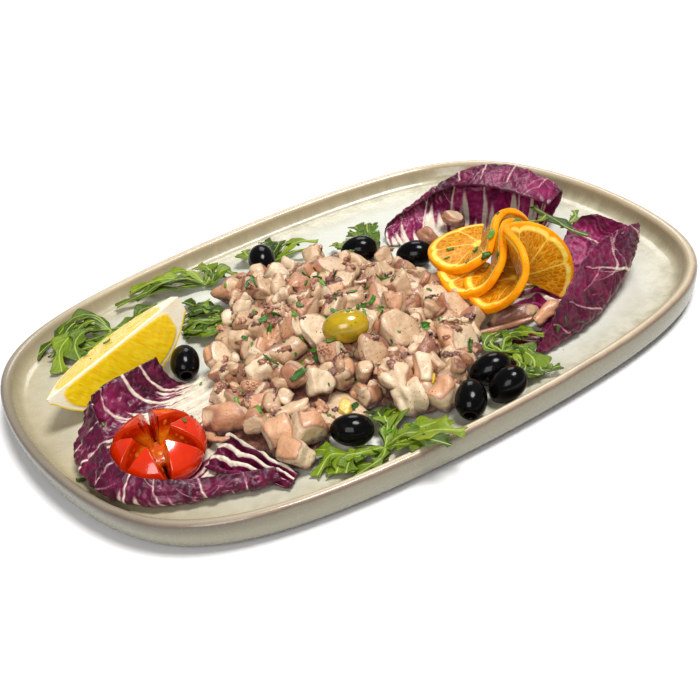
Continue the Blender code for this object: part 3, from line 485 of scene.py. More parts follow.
def tomatoWedge(count):
    settings = tomatoSettings
    radius = settings["radius"]
    middle = settings["height"] / 2
    half = math.pi / settings["wedges"] + math.radians(settings["overlap"])
    fullness = settings["fullness"]
    tone = count / settings["wedges"]
    tilts = np.linspace(0.03, math.pi - 0.03, 40)

    def place(share, side, tilt):
        share = share * (math.sin(tilt) ** fullness + abs(math.cos(tilt)) ** fullness) ** (-1 / fullness)
        reach = share * radius * math.sin(tilt)
        return reach * math.cos(side), reach * math.sin(side), middle + share * middle * math.cos(tilt)

    skin = [[place(1.0, side, tilt) for side in np.linspace(-half, half, 22)] for tilt in tilts]
    patches = [gridPatch(skin, inside=0.0, deep=1.0, tone=tone)]
    shares = np.linspace(0.0, 1.0, 24)
    for side in (-half, half):
        normal = Vector((-math.sin(side), math.cos(side), 0)) * (1 if side > 0 else -1)
        rows = []
        for tilt in tilts:
            row = []
            for share in shares:
                point = Vector(place(share, side, tilt))
                # Seed pockets bulge and the flesh between them sinks a little
                pocket = math.sin(math.pi * min(max((share - 0.2) / 0.62, 0), 1))
                lumps = 0.5 + 0.5 * noise.noise(point / 2.6 + Vector((count * 7, 0, side * 5)))
                row.append(tuple(point + normal * (pocket * (lumps * 1.3 - 0.9) * math.sin(tilt) ** 0.5)))
            rows.append(row)
        patches.append(gridPatch(rows, inside=1.0, deep=shares, tone=tone))
    patch = joinPatches(patches)
    patch["points"] = patch["points"] * mm
    turn = math.radians(settings["turn"]) + count * math.tau / settings["wedges"]
    tilt = spin(math.radians(settings["tilt"]), Vector(settings["tiltAxis"]))
    lean = spin(math.radians(settings["splay"]), "Y")
    patch = moved(patch, shift(settings["base"]) @ tilt @ spin(turn, "Z") @ lean)
    # Soft food is flat where it rests
    patch["points"][:, 2] = np.maximum(patch["points"][:, 2], settings["rest"] * mm)
    return patch


def tomatoMaterial():
    look = Look("cherry_tomato", Roughness=0.18, Coat_Weight=0.5, Coat_Roughness=0.05, Subsurface_Weight=0.12,
                Subsurface_Scale=0.003)
    inside, deep = look.number("inside"), look.number("deep")
    skin = look.ramp(look.noise(70.0), (0.3, (196, 30, 0)), (0.6, (218, 46, 0)), (0.8, (228, 70, 4)))
    flesh = look.ramp(
        deep + look.noise(130.0) * 0.30,
        (0.12, (206, 92, 14)), (0.32, (220, 130, 18)), (0.50, (206, 84, 6)), (0.66, (184, 40, 0)),
        (0.92, (190, 30, 0)), (1.02, (216, 60, 12)),
    )
    pocket = look.ramp(deep, (0.20, 0.0), (0.32, 1.0), (0.66, 1.0), (0.80, 0.0))
    seeds = look.ramp(look.spots(260.0), (0.20, 1.0), (0.34, 0.0)) * pocket
    seeds *= look.ramp(look.noise(150.0), (0.42, 0.0), (0.52, 0.9))
    flesh = look.mix(seeds * 0.6, flesh, (236, 168, 56))
    relief = look.bump(seeds * 0.7 + look.noise(420.0), inside * 0.4 + 0.04, 0.0006)
    return look.done(look.mix(inside, skin, flesh), look.mix(inside, 0.14, 0.26), relief)


def addTomato():
    settings = tomatoSettings
    x, y, z = settings["base"]
    wide, high, lift = settings["heart"]
    # A flat heart joins the wedges at their base
    heart = [[((x + wide * math.sin(tilt) * math.cos(side)) * mm,
               (y + wide * math.sin(tilt) * math.sin(side)) * mm,
               max(z + lift + high * math.cos(tilt), settings["rest"]) * mm)
              for side in np.linspace(0, math.tau, 28)] for tilt in np.linspace(0.02, math.pi - 0.02, 12)]
    wedges = [tomatoWedge(count) for count in range(settings["wedges"])]
    wedges.append(gridPatch(heart, inside=1.0, deep=0.4, tone=0.5))
    addPiece("tomato_cut", wedges, tomatoMaterial(), "tomato", "tomato")


addTomato()
print("scene: tomato")


# Lemon wedge

lemonSettings = {
    "left": (-159.3, 20.8, 29.0), "right": (-77.4, 31.3, 47.1), "radius": 28.7, "front": 8, "back": 69,
    "profile": [(-1.0, 0.06), (-0.93, 0.25), (-0.8, 0.50), (-0.6, 0.76), (-0.3, 0.95), (0.0, 1.0),
                (0.3, 0.96), (0.6, 0.80), (0.8, 0.60), (0.93, 0.42), (1.0, 0.30)],
    "rows": 110, "columns": 40, "spokes": 46,
}


def addLemon():
    settings = lemonSettings
    radius = settings["radius"]
    front, back = math.radians(settings["front"]), -math.radians(settings["back"])
    left, right = Vector(settings["left"]) * mm, Vector(settings["right"]) * mm
    along = (right - left).normalized()
    side = along.cross(up).normalized()
    above = side.cross(along)
    length = (right - left).length / mm
    places = np.linspace(-1, 1, settings["rows"])
    # The outline is eased so that its corners don't show
    shares = np.interp(places, *zip(*settings["profile"]))
    shares = np.convolve(np.pad(shares, 4, mode="edge"), np.ones(9) / 9, "valid")
    patches = []

    def spoke(angle):
        return side * math.sin(angle) - above * math.cos(angle)

    def fleshMask(place, reach, radius):
        # How far inside the flesh a place of a cut face lies, in millimetres, with rounded corners
        gaps = ((place + 0.84) * length * 0.3, (0.80 - place) * length * 0.3,
                reach - 0.6 - 2.0 * max(place, 0) ** 2, radius - 1.8 - reach - 1.5 * max(-place - 0.3, 0))
        return -math.log(sum(math.exp(-0.75 * min(max(gap, -12), 30)) for gap in gaps)) / 0.75

    for angle, sway in ((front, 1), (back, -1)):
        rows, flesh, edge = [], [], []
        face = spoke(angle).cross(along).normalized() * -sway
        for place, share in zip(places, shares):
            core = left.lerp(right, (place + 1) / 2)
            parts = np.linspace(0, 1, settings["spokes"])
            reaches = [part * radius * share for part in parts]
            inside = [fleshMask(place, reach, radius * share) for reach in reaches]
            row = []
            for part, reach, depth in zip(parts, reaches, inside):
                grain = noise.noise(Vector((place * 26 + part * 4, part * 5, sway * 3)))
                sink = 0.55 * min(max(depth, 0), 1) * (0.6 + 0.5 * grain)
                row.append(tuple(core + spoke(angle) * reach * mm - face * sink * mm))
            rows.append(row)
            flesh.append(inside)
            edge.append([radius * share - reach for reach in reaches])
        patches.append(gridPatch(rows, flesh=flesh, edge=edge, rind=0.0))
    rows = []
    for place, share in zip(places, shares):
        core = left.lerp(right, (place + 1) / 2)
        row = []
        for angle in np.linspace(front, back, settings["columns"]):
            pores = noise.noise(Vector((place * 40, angle * 26, 1.0)))
            row.append(tuple(core + spoke(angle) * radius * share * (1 + 0.003 * pores) * mm))
        rows.append(row)
    patches.append(gridPatch(rows, flesh=-3.0, edge=0.0, rind=1.0))
    for row, core in ((rows[0], left), (rows[-1], right)):
        # Small cut faces close the wedge at both ends
        core, ring = np.array(core), np.array(row)
        cap = np.stack([core + (ring - core) * part for part in np.linspace(0, 1, 8)])
        patches.append(gridPatch(cap, flesh=-3.0, edge=4.0, rind=0.0))
    addPiece("lemon_cut", patches, lemonMaterial(), "lemon", "lemon_wedge")


def lemonMaterial():
    look = Look("lemon_flesh_and_rind", Roughness=0.3, Coat_Weight=0.2, Coat_Roughness=0.15,
                Subsurface_Weight=0.15, Subsurface_Scale=0.004)
    rind = look.number("rind")
    across, along = look.parts(look.mapped("UV"))[:2]
    grain = look.add("CombineXYZ", {"X": along * 46.0 + across * -8.0, "Y": across * 3.2})
    streaks = look.noise(1.0, 3.0, 0.6, grain)
    cells = look.spots(1.3, grain, "DISTANCE_TO_EDGE")
    pulp = look.ramp(streaks, (0.3, (240, 190, 0)), (0.5, (248, 208, 6)), (0.7, (252, 220, 50)))
    pulp = look.mix(look.ramp(cells, (0.0, 0.22), (0.07, 0.0)), pulp, (250, 228, 120))
    pith = look.ramp(look.noise(130.0, 4.0), (0.3, (240, 230, 194)), (0.7, (250, 244, 222)))
    yellow = look.ramp(look.noise(110.0), (0.3, (240, 190, 4)), (0.7, (250, 214, 22)))
    wavy = (look.number("flesh") + (streaks - 0.5) * 1.4) * 0.5
    body = look.mix(look.ramp(wavy, (0.0, 0.0), (0.45, 1.0)), pith, pulp)
    outer = look.ramp(look.number("edge") * 0.5 + look.noise(500.0) * 0.2, (0.50, 1.0), (0.80, 0.0))
    body = look.mix(rind, look.mix(outer, body, yellow), yellow)
    relief = look.bump(look.mix(rind, cells + streaks, look.spots(900.0)), 0.35, 0.0005)
    return look.done(body, look.ramp(wavy, (0.0, 0.42), (0.4, 0.2)), relief)


addLemon()
print("scene: lemon")


# Orange twists: the ways are right, up and towards the viewer for someone who looks from the front left

orangeSettings = {
    "radius": 28.5, "thick": 4.2, "core": 0.8, "steps": 150,
    "right": (0.830, -0.536, -0.158), "up": (0.395, 0.364, 0.843), "near": (-0.394, -0.762, 0.514),
    "twists": [
        ((76, -19, 31), [
            (0.15, 0.42, -0.90), (-0.6, 0.22, -0.77), (-0.97, -0.25, 0.0), (-0.55, -0.55, 0.63),
            (0.0, -0.30, 0.95), (0.14, 0.08, 0.98), (0.24, 0.43, 0.87), (0.48, 0.58, 0.66),
            (0.80, 0.48, 0.36), (0.98, 0.15, 0.0), (0.85, -0.30, -0.42),
        ]),
        ((70, -35, 27.5), [
            (-0.60, 0.15, -0.78), (-0.97, -0.25, 0.0), (-0.70, -0.60, 0.40), (-0.25, -0.55, 0.80),
            (0.08, -0.10, 0.99), (0.14, 0.40, 0.90), (0.20, 0.72, 0.66), (0.50, 0.74, 0.45),
            (0.84, 0.50, 0.20), (0.98, 0.10, -0.15), (0.82, -0.35, -0.45),
        ]),
        ((72, -56, 27), [
            (-0.80, 0.15, -0.58), (-0.97, -0.20, -0.10), (-0.72, -0.62, 0.30), (-0.30, -0.50, 0.81),
            (-0.02, -0.05, 0.99), (-0.06, 0.42, 0.90), (-0.28, 0.80, 0.52), (-0.20, 0.92, 0.33),
            (0.30, 0.93, 0.20), (0.75, 0.65, 0.08), (0.97, 0.20, -0.10), (0.86, -0.38, -0.35),
        ]),
    ],
}


def orangePatches(count, centre, ways):
    settings = orangeSettings
    viewer = [Vector(settings[key]) for key in ("right", "up", "near")]
    turned = [(viewer[0] * r + viewer[1] * u + viewer[2] * n).normalized() for r, u, n in ways]
    radius, thick, core = settings["radius"], settings["thick"] / 2, settings["core"]
    tone = count / len(settings["twists"])
    # Across the slice: the place along the spoke, the side from -1 to 1
    half = 20
    ring = [(share, -1.0) for share in np.linspace(0.0, 0.93, 17)]
    ring += [(0.972, -0.97), (0.992, -0.82), (1.0, -0.42), (1.0, 0.42), (0.992, 0.82), (0.972, 0.97)]
    ring += [(share, 1.0) for share in np.linspace(0.93, 0.0, 17)] + [(0.0, -1.0)]
    radial = np.array([(core + share * (radius - core)) / radius for share, side in ring])
    rows = []
    places = [step / settings["steps"] for step in range(settings["steps"] + 1)]
    for place in places:
        way = smoothRow(turned, place).normalized()
        travel = smoothRow(turned, min(place + 0.01, 1)) - smoothRow(turned, max(place - 0.01, 0))
        face = way.cross(travel).normalized()
        row = []
        for share, side in ring:
            reach = core + share * (radius - core)
            wide = thick * (0.2 + 0.72 * min(share / 0.35, 1))
            sway = 0.22 * noise.noise(Vector((place * 14, share * 5, count * 3.0 + side)))
            row.append(tuple((Vector(centre) + way * reach + face * wide * side * (1 + sway)) * mm))
        rows.append(row)
    patches = [gridPatch(rows, radial=radial, sweep=np.array(places)[:, None], end=0.0, tone=tone)]
    for row in (rows[0], rows[-1]):
        # The two faces of the cut from core to edge
        points = np.array(row)
        lower, upper = points[:half + 1], points[::-1][1:half + 2]
        cap = np.stack([lower + (upper - lower) * part for part in (0, 0.5, 1)])
        patches.append(gridPatch(cap, radial=radial[:half + 1], sweep=0.03, end=1.0, tone=tone))
    return patches


def orangeMaterial():
    look = Look("orange_slice", Roughness=0.3, Specular_IOR_Level=0.12, Coat_Weight=0.04, Coat_Roughness=0.1)
    radial = look.number("radial")
    turn = look.number("sweep") * 9.0 + look.number("tone")
    membrane = (0.5 - abs(look.math("FRACT", turn) - 0.5)) * 19.0 * radial
    lines = look.ramp(membrane * 0.5, (0.10, 1.0), (0.26, 0.0))
    grain = look.add("CombineXYZ", {"X": turn * 9.0, "Y": radial * 6.5})
    cells = look.spots(1.0, grain, "DISTANCE_TO_EDGE")
    streaks = look.noise(1.3, 4.0, 0.65, grain)
    pulp = look.ramp(streaks, (0.28, (174, 90, 0)), (0.5, (204, 120, 0)), (0.74, (230, 158, 14)))
    pulp = look.mix(look.ramp(cells, (0.0, 0.55), (0.12, 0.0)), pulp, (244, 196, 66))
    pith = look.ramp(look.noise(320.0), (0.3, (250, 208, 60)), (0.7, (254, 228, 124)))
    peel = look.ramp(look.noise(150.0), (0.3, (244, 134, 0)), (0.7, (255, 168, 2)))
    corner = look.math("EXPONENT", membrane * -0.8) * 0.07
    wavy = radial + corner + (look.noise(300.0) - 0.5) * 0.02
    body = look.mix(lines * 0.6, pulp, pith)
    body = look.mix(look.ramp(wavy, (0.835, 0.0), (0.875, 1.0)), body, pith)
    body = look.mix(look.ramp(wavy, (0.925, 0.0), (0.955, 1.0)), body, peel)
    body = look.mix(look.ramp(radial, (0.12, 0.8), (0.18, 0.0)), body, pith)
    height = look.mix(look.ramp(radial, (0.84, 0.0), (0.94, 1.0)), cells + streaks, look.spots(1100.0))
    return look.done(body, look.ramp(radial, (0.80, 0.22), (0.93, 0.36)), look.bump(height, 0.45, 0.0005))


def addOrange():
    material = orangeMaterial()
    for count, (centre, ways) in enumerate(orangeSettings["twists"], 1):
        addPiece(f"orange_slice_{count}", orangePatches(count, centre, ways), material, "orange",
                 f"orange_twist_{count}")


addOrange()
print("scene: orange")


# Thin closed sheets from their middle surface: both faces, the edges all round, and which face is which

def sheetPatch(middle, thick, **numbers):
    middle = np.asarray(middle, dtype=float)
    shape = middle.shape[:2]
    normal = np.cross(np.gradient(middle, axis=1), np.gradient(middle, axis=0))
    normal /= np.maximum(np.linalg.norm(normal, axis=2, keepdims=True), 1e-12)
    half = spread(thick, shape)[..., None] * mm / 2
    top, bottom = middle + normal * half, middle - normal * half
    numbers = {key: spread(value, shape) for key, value in numbers.items()}
    across, along = np.meshgrid(np.linspace(0, 1, shape[1]), np.linspace(0, 1, shape[0]))

    def around(first, second):
        return np.concatenate([first, second[:, ::-1], first[:, :1]], axis=1)

    patch = gridPatch(around(top, bottom), **{key: around(value, value) for key, value in numbers.items()},
                      face=around(np.ones(shape), np.zeros(shape)))
    patch["uv"] = np.stack([around(across, across), around(along, along)], -1).reshape(-1, 2)
    ends = []
    for row in (0, -1):
        strip = gridPatch(np.stack([top[row], bottom[row]]), face=0.5,
                          **{key: np.stack([value[row], value[row]]) for key, value in numbers.items()})
        strip["uv"] = np.stack([across[[row, row]], along[[row, row]]], -1).reshape(-1, 2)
        ends.append(strip)
    return joinPatches([patch] + ends)


def treeOf(patches):
    joined = joinPatches([{"points": patch["points"], "faces": patch["faces"]} for patch in patches])
    return BVHTree.FromPolygons(joined["points"].tolist(), joined["faces"].tolist())


def treeOfPieces(names):
    points, faces = [], []
    for name in names:
        mesh = bpy.data.objects[name].data
        offset = len(points)
        points += [tuple(vertex.co) for vertex in mesh.vertices]
        faces += [tuple(corner + offset for corner in face.vertices) for face in mesh.polygons]
    return BVHTree.FromPolygons(points, faces)


# Octopus heap: cut pieces of arm over a filled core, with frills, strands and scraps between them

heapSettings = {
    "pieces": [
        ((18.5, -73.5, 19), 12.0, 11.0, -62, 55), ((37, -46.5, 17.5), 12.0, 10.0, -60, 35),
        ((34.5, -31, 20.5), 12.0, 9.5, -40, 30), ((-3, -54, 28.5), 12.0, 11.5, -70, 40),
        ((-30, -14, 33), 13.0, 8.5, 10, 80), ((-48, 12, 27), 8.0, 9.5, -60, 35),
        ((11, 26, 29), 5.0, 11.0, -40, 20), ((-16, 17, 32), 14.0, 8.0, 20, 75),
        ((-29, 33, 28), 9.0, 8.0, -50, 35), ((15, 54, 21.5), 11.0, 8.0, -20, 70),
        ((-54, -31, 29), 19.0, 6.5, 5, 82), ((-34, -30, 32), 5.0, 9.5, -70, 45),
        ((-25, -94, 17), 13.0, 9.0, -30, 75), ((-11, -103, 17), 16.0, 8.0, 0, 80),
        ((-50, -71, 14), 4.5, 13.0, -60, 20), ((-72, 7, 19), 9.0, 9.0, -60, 50),
        ((-61, -51, 28), 15.0, 6.5, 110, 70), ((-55, -64, 27), 10.0, 7.5, -80, 60),
        ((-82, -44, 20.5), 25.0, 3.6, -28, 88), ((-98.8, -45.2, 19.5), 25.0, 7.8, -33, 82),
        ((-86, -77, 19), 15.0, 9.5, -20, 82), ((-75, -85, 21.5), 12.0, 9.0, 70, 65),
        ((-86, -92, 16.5), 15.0, 7.5, -75, 82), ((-24, -82, 23), 13.0, 9.5, 20, 65),
        ((-6, -19, 33), 16.0, 6.5, -15, 80), ((-74, -68, 22), 18.0, 4.5, -20, 85),
        ((-25, 75, 16.5), 17.0, 5.5, -30, 80), ((-35, 69, 17), 13.0, 6.0, -40, 45),
        ((46, -14, 19), 18.0, 4.5, -30, 80), ((4, -29, 32), 14.0, 6.5, 60, 70),
        ((-21, -62, 27), 5.0, 9.0, -90, 60), ((-2, -76, 25), 15.0, 6.0, 30, 75),
        ((-38, -49, 29), 12.0, 6.5, -50, 75), ((-70, -34, 27), 13.0, 7.0, -10, 70),
        ((-61, 4, 24), 11.0, 6.5, -60, 70), ((0, -94, 19), 14.0, 7.0, -30, 70),
    ],
    "outline": [
        (52, -14), (48, 8), (56, 32), (32, 50), (12, 68), (-10, 76), (-30, 86), (-40, 66), (-40, 48),
        (-60, 29), (-77, 14), (-82, -14), (-100, -24), (-108, -46), (-94, -86), (-84, -98), (-66, -84),
        (-46, -72), (-32, -84), (-22, -106), (-6, -108), (18, -86), (38, -66), (48, -50),
    ],
    "centre": (-14, -14), "floor": 8, "edge": 3, "rise": 19, "fall": 2.4,
    "fillers": 42, "spacing": 11.0, "seed": 11, "rest": 8.6, "whole": (7, 19, 20, 26, 27),
    "clear": [(-99, -46, 12), (-105, -50, 9), (-86, -77, 9), (-75, -85, 7)],
    "chunks": 230, "slices": 14, "frills": 170, "strands": 9,
    "curl": [(-99, -46, 20), (-103.4, -43.5, 20), (-105.8, -43.2, 17.5), (-106.8, -45.5, 15),
             (-107.6, -49, 14.5), (-105.3, -54.3, 15.5), (-101.6, -56.5, 16)],
    "curlWidths": (10, 8.5, 7, 6, 5, 4, 2.5),
}
bitSettings = [
    ((58.5, -66.0, 14.2), 21.0, 5.0, -35, 88), ((69.5, -78.0, 15.0), 17.0, 4.0, 10, 78),
    ((46.5, -69.0, 13.0), 38.0, 1.8, -22, 88), ((99.5, 40.0, 18.0), 7.0, 6.6, -50, 25),
    ((76.5, 31.5, 17.5), 8.0, 7.2, -20, 55),
]


def heapReach(angle):
    centreX, centreY = heapSettings["centre"]
    corners = sorted((math.atan2(y - centreY, x - centreX), math.hypot(x - centreX, y - centreY))
                     for x, y in heapSettings["outline"])
    turns = [corners[-1][0] - math.tau] + [turn for turn, reach in corners] + [corners[0][0] + math.tau]
    reaches = [corners[-1][1]] + [reach for turn, reach in corners] + [corners[0][1]]
    return float(np.interp(angle, turns, reaches))


def heapHeight(x, y):
    settings = heapSettings
    centreX, centreY = settings["centre"]
    share = math.hypot(x - centreX, y - centreY) / heapReach(math.atan2(y - centreY, x - centreX))
    return settings["floor"] + settings["edge"] + settings["rise"] * max(0, 1 - share ** settings["fall"])


def heapPlace(angle, share):
    reach = heapReach(angle) * share
    centreX, centreY = heapSettings["centre"]
    return centreX + reach * math.cos(angle), centreY + reach * math.sin(angle)


def heapFillers(draw, taken):
    # Smaller pieces thrown on wherever there is room between those already there
    settings = heapSettings
    pieces = []
    while len(pieces) < settings["fillers"]:
        angle = draw.uniform(-math.pi, math.pi)
        x, y = heapPlace(angle, math.sqrt(draw.uniform(0, 0.92)))
        if any(math.hypot(x - px, y - py) < settings["spacing"] for px, py in taken):
            continue
        taken.append((x, y))
        radius, length = draw.uniform(4.8, 7.2), draw.uniform(9, 15)
        lean = draw.choice((25, 60, 80, 85))
        z = max(heapHeight(x, y) + draw.uniform(2.0, 4.5), settings["floor"] + radius + 1)
        pieces.append(((x, y, z), length, radius, draw.uniform(0, 360), lean))
    return pieces


def ballRows(rows, columns):
    # Unit directions over a ball whose poles lie along Z, closed at the seam
    tilts = np.linspace(0.02, math.pi - 0.02, rows)[:, None]
    turns = np.linspace(0, math.tau, columns)[None, :]
    wide = np.sin(tilts)
    return np.stack([wide * np.cos(turns), wide * np.sin(turns), np.cos(tilts) + 0 * turns], -1)


def chunkPatches(piece, squash, seed, rows=24, columns=33, whole=False, yellow=0.0):
    # A chopped block: flat pale cuts on most sides and rounded skin on one, sometimes with suckers
    centre, length, radius, turn, lean = piece
    draw = random.Random(seed)
    # Most pieces lie with some of their skin up
    back = math.pi + draw.gauss(0, 1.1)
    wide = draw.uniform(0.9, 1.35)
    sides = [(back + offset * wide, 1.0, 1.0) for offset in (-0.55, 0.0, 0.55)]
    for offset in draw.choice(((1.6, 2.6, 3.7, 4.7), (1.7, 3.1, 4.5), (1.5, 2.9, 4.2, 5.0))):
        angle = back + offset + draw.uniform(-0.25, 0.25)
        sides.append((angle, draw.uniform(0.66 if radius < 9 else 0.85, 0.95), 0.0))
    if whole:
        sides = [(back + step, draw.uniform(0.92, 1.0), 1.0) for step in np.linspace(0, math.tau, 10)[:-1]]
    planes, reaches, skins = [], [], []

    def cut(plane, reach, skin=0.0):
        planes.append(plane)
        reaches.append(reach)
        skins.append(skin)

    for angle, reach, skin in sides:
        tip = draw.uniform(-0.18, 0.18)
        cut((math.cos(angle) * math.cos(tip), math.sin(angle) * math.cos(tip), math.sin(tip)), reach, skin)
    for way in (-1, 1):
        tip, side = draw.uniform(0.0, 0.42), draw.uniform(0, math.tau)
        cut((math.sin(tip) * math.cos(side), math.sin(tip) * math.sin(side), way * math.cos(tip)),
            draw.uniform(0.84, 1.0))
    if draw.random() < 0.6:
        corner = Vector((draw.uniform(-1, 1), draw.uniform(-1, 1), draw.choice((-0.8, 0.8)))).normalized()
        cut(tuple(corner), draw.uniform(0.78, 0.95))
    planes, reaches, skins = np.array(planes), np.array(reaches), np.array(skins)
    crisp = 7 if whole else draw.uniform(6.5, 12)
    size = np.array([radius, radius * squash, length / 2])
    waves = [(stretch * np.array([draw.gauss(0, 1) for axis in range(3)]), draw.uniform(0, math.tau), amount)
             for stretch, amount in [(1, 0.07), (1, 0.07), (1, 0.05)] + [(3.2, 0.014)] * 4]

    def surface(ways):
        pushes = np.maximum(ways @ planes.T / reaches, 0) ** crisp
        total = pushes.sum(-1)
        grow = sum(amount * np.sin(2.6 * ways @ wave + phase) for wave, phase, amount in waves)
        return ways * (total ** (-1 / crisp) * (1 + grow))[..., None] * size, (pushes @ skins) / total

    points, skin = surface(ballRows(rows, columns))
    points[:, -1] = points[:, 0]
    stained = draw.choice((0.0, 0.15, 0.3, 0.45, 0.6)) * (0.4 if rows > 20 else 1) * skin
    tone = draw.random()
    dark = np.clip(stained + 0.45 * (4 * skin * (1 - skin)) * draw.random(), 0, 1)
    patches = [gridPatch(points, cut=1 - skin, dark=dark, tone=tone, yellow=yellow)]
    if 4 < radius < 7 and draw.random() < 0.10:
        cup = min(radius * 0.2, 1.6)
        for height in np.arange(-0.62, 0.63, cup * 2.2 / (length / 2)):
            for way in (-1, 1):
                angle = back + way * cup * 1.15 / radius
                aim = np.array([[math.cos(angle), math.sin(angle), height + 0.1 * way]])
                spot = Vector(surface(aim / np.linalg.norm(aim))[0][0]) * 0.97
                turned = Matrix.Translation(spot) @ facing(Vector((math.cos(angle), math.sin(angle), 0)))
                patches.append(moved(suckerPatch(cup * draw.uniform(0.75, 1.1), tone), turned))
    place = shift(centre) @ spin(math.radians(turn), "Z") @ spin(math.radians(lean), "Y") @ Matrix.Scale(mm, 4)
    patches = [moved(patch, place) for patch in patches]
    for patch in patches:
        # Painted shade: each piece is darker low down, between the pieces
        low = np.clip((centre[2] - patch["points"][:, 2] / mm) / radius + 0.3, 0, 1)
        patch["dark"] = np.clip(patch["dark"] + 0.95 * low, 0, 1)
        patch["points"][:, 2] = np.maximum(patch["points"][:, 2], heapSettings["rest"] * mm)
    return patches


def suckerPatch(size, tone):
    # A sucker: a small cup with a raised lip, whose rows are a reach, a height and a darkness
    rows = [(0.02, 0.05, 0.95), (0.42, 0.08, 0.9), (0.60, 0.62, 0.5), (0.82, 0.78, 0.35), (1.02, 0.45, 0.55),
            (0.85, -0.35, 0.8)]
    points = [[(reach * size * math.cos(turn), reach * size * math.sin(turn), height * size)
               for turn in np.linspace(0, math.tau, 11)] for reach, height, dark in rows]
    return gridPatch(points, cut=0.25, dark=[[row[2]] for row in rows], tone=tone, yellow=0.0)


def curlPatch(path, widths, seed, flat=0.55):
    # A tapering arm tip along a path, darker along its outer edge
    points = [Vector(point) for point in path]
    turns = np.linspace(0, math.tau, 19)
    rows = []
    for place in np.linspace(0, 1, 40):
        spot = smoothRow(points, place)
        travel = (smoothRow(points, min(place + 0.03, 1)) - smoothRow(points, max(place - 0.03, 0))).normalized()
        side = travel.cross(up).normalized()
        above = side.cross(travel).normalized()
        wide = float(np.interp(place, np.linspace(0, 1, len(widths)), widths)) / 2
        close = min(1, math.sqrt(max(0, min(place, 1 - place) * 14)) + 0.02)
        row = []
        for turn in turns:
            bumps = 1 + 0.07 * math.sin(place * 60) * max(-math.sin(turn), 0)
            row.append(tuple((spot + side * math.cos(turn) * wide * close * bumps
                              + above * math.sin(turn) * wide * close * flat) * mm))
        rows.append(row)
    dark = [0.35 + 0.55 * abs(math.cos(turn)) ** 3 for turn in turns]
    return gridPatch(rows, cut=0.15, dark=dark, tone=(seed * 0.37) % 1, yellow=0.0)


def frillPatch(spot, height, length, width, seed, draw):
    # A frilled scrap of skin and web
    turn, length = draw.uniform(0, 6.3), draw.uniform(*length)
    width = draw.uniform(*width) if isinstance(width, tuple) else width
    draw = random.Random(seed)
    middle = []
    for row in np.linspace(-0.5, 0.5, 16):
        line = []
        for column in np.linspace(-0.5, 0.5, 7):
            bend = draw.uniform(-0.1, 0.1)
            wide = width * (1 - 1.2 * abs(row) ** 2) * column
            ruffle = 1.3 * noise.noise(Vector((row * 5 + seed, column * 3, seed * 0.7)))
            lift = 1.6 * (0.25 - row * row) + ruffle * (0.4 + 2.2 * abs(column))
            line.append((row * length, wide + bend, lift))
        middle.append(line)
    place = shift((spot.x, spot.y, spot.z + height)) @ spin(turn, "Z") @ spin(draw.uniform(-0.9, 0.9), "X")
    place = place @ spin(draw.uniform(-0.5, 0.5), "Y")
    dark = draw.choice((0.1, 0.3, 0.55, 0.9))
    thick = draw.uniform(0.9, 1.8)
    patch = sheetPatch(np.array(middle) * mm, thick, cut=0.3, dark=dark, tone=draw.random(), yellow=0.0)
    patch.pop("face")
    return moved(patch, place)


def octopusMaterial():
    look = Look("boiled_octopus", Roughness=0.36, Coat_Weight=0.32, Coat_Roughness=0.16, Subsurface_Weight=0.08,
                Subsurface_Scale=0.002)
    cut, tone = look.number("cut"), look.number("tone")
    skin = look.ramp(tone * 0.55 + look.noise(120.0) * 0.5, (0.18, (214, 164, 124)), (0.45, (206, 150, 112)),
                     (0.62, (182, 124, 92)), (0.82, (140, 90, 72)))
    flesh = look.ramp(tone * 0.45 + look.noise(230.0, 4.0) * 0.55, (0.25, (228, 204, 170)),
                      (0.50, (214, 182, 146)), (0.72, (188, 150, 114)))
    body = look.mix(look.ramp(cut, (0.30, 0.0), (0.70, 1.0)), skin, flesh)
    # Purple brown shows where the skin ends at a cut
    body = look.mix(look.ramp(cut, (0.10, 0.0), (0.45, 0.7), (0.80, 0.0)), body, (128, 80, 66))
    purple = look.ramp(look.noise(420.0, 4.0, 0.7), (0.32, (58, 30, 32)), (0.52, (108, 68, 60)),
                       (0.72, (158, 110, 94)))
    # The dark number holds the purple skin and also painted shade, low between the pieces and on the core
    wandering = look.number("dark") + (look.noise(300.0, 4.0, 0.7) - 0.5) * 0.9
    body = look.mix(look.ramp(wandering, (0.42, 0.0), (0.80, 0.92)), body, purple)
    stain = look.ramp(look.noise(95.0, 3.0, 0.6), (0.60, 0.0), (0.74, 0.35))
    body = look.mix(look.number("yellow"), look.mix(stain, body, (196, 142, 96)), (226, 188, 40))
    specks = look.ramp(look.spots(520.0), (0.10, 1.0), (0.18, 0.0))
    specks *= look.ramp(look.noise(160.0), (0.42, 0.0), (0.54, 0.85))
    body = look.mix(specks, body, (98, 58, 42))
    rough = look.ramp(look.noise(260.0, 4.0), (0.3, 0.22), (0.75, 0.48))
    return look.done(body, rough, look.bump(look.noise(700.0, 5.0, 0.7) * 0.5 + look.noise(300.0), 0.8, 0.0009))


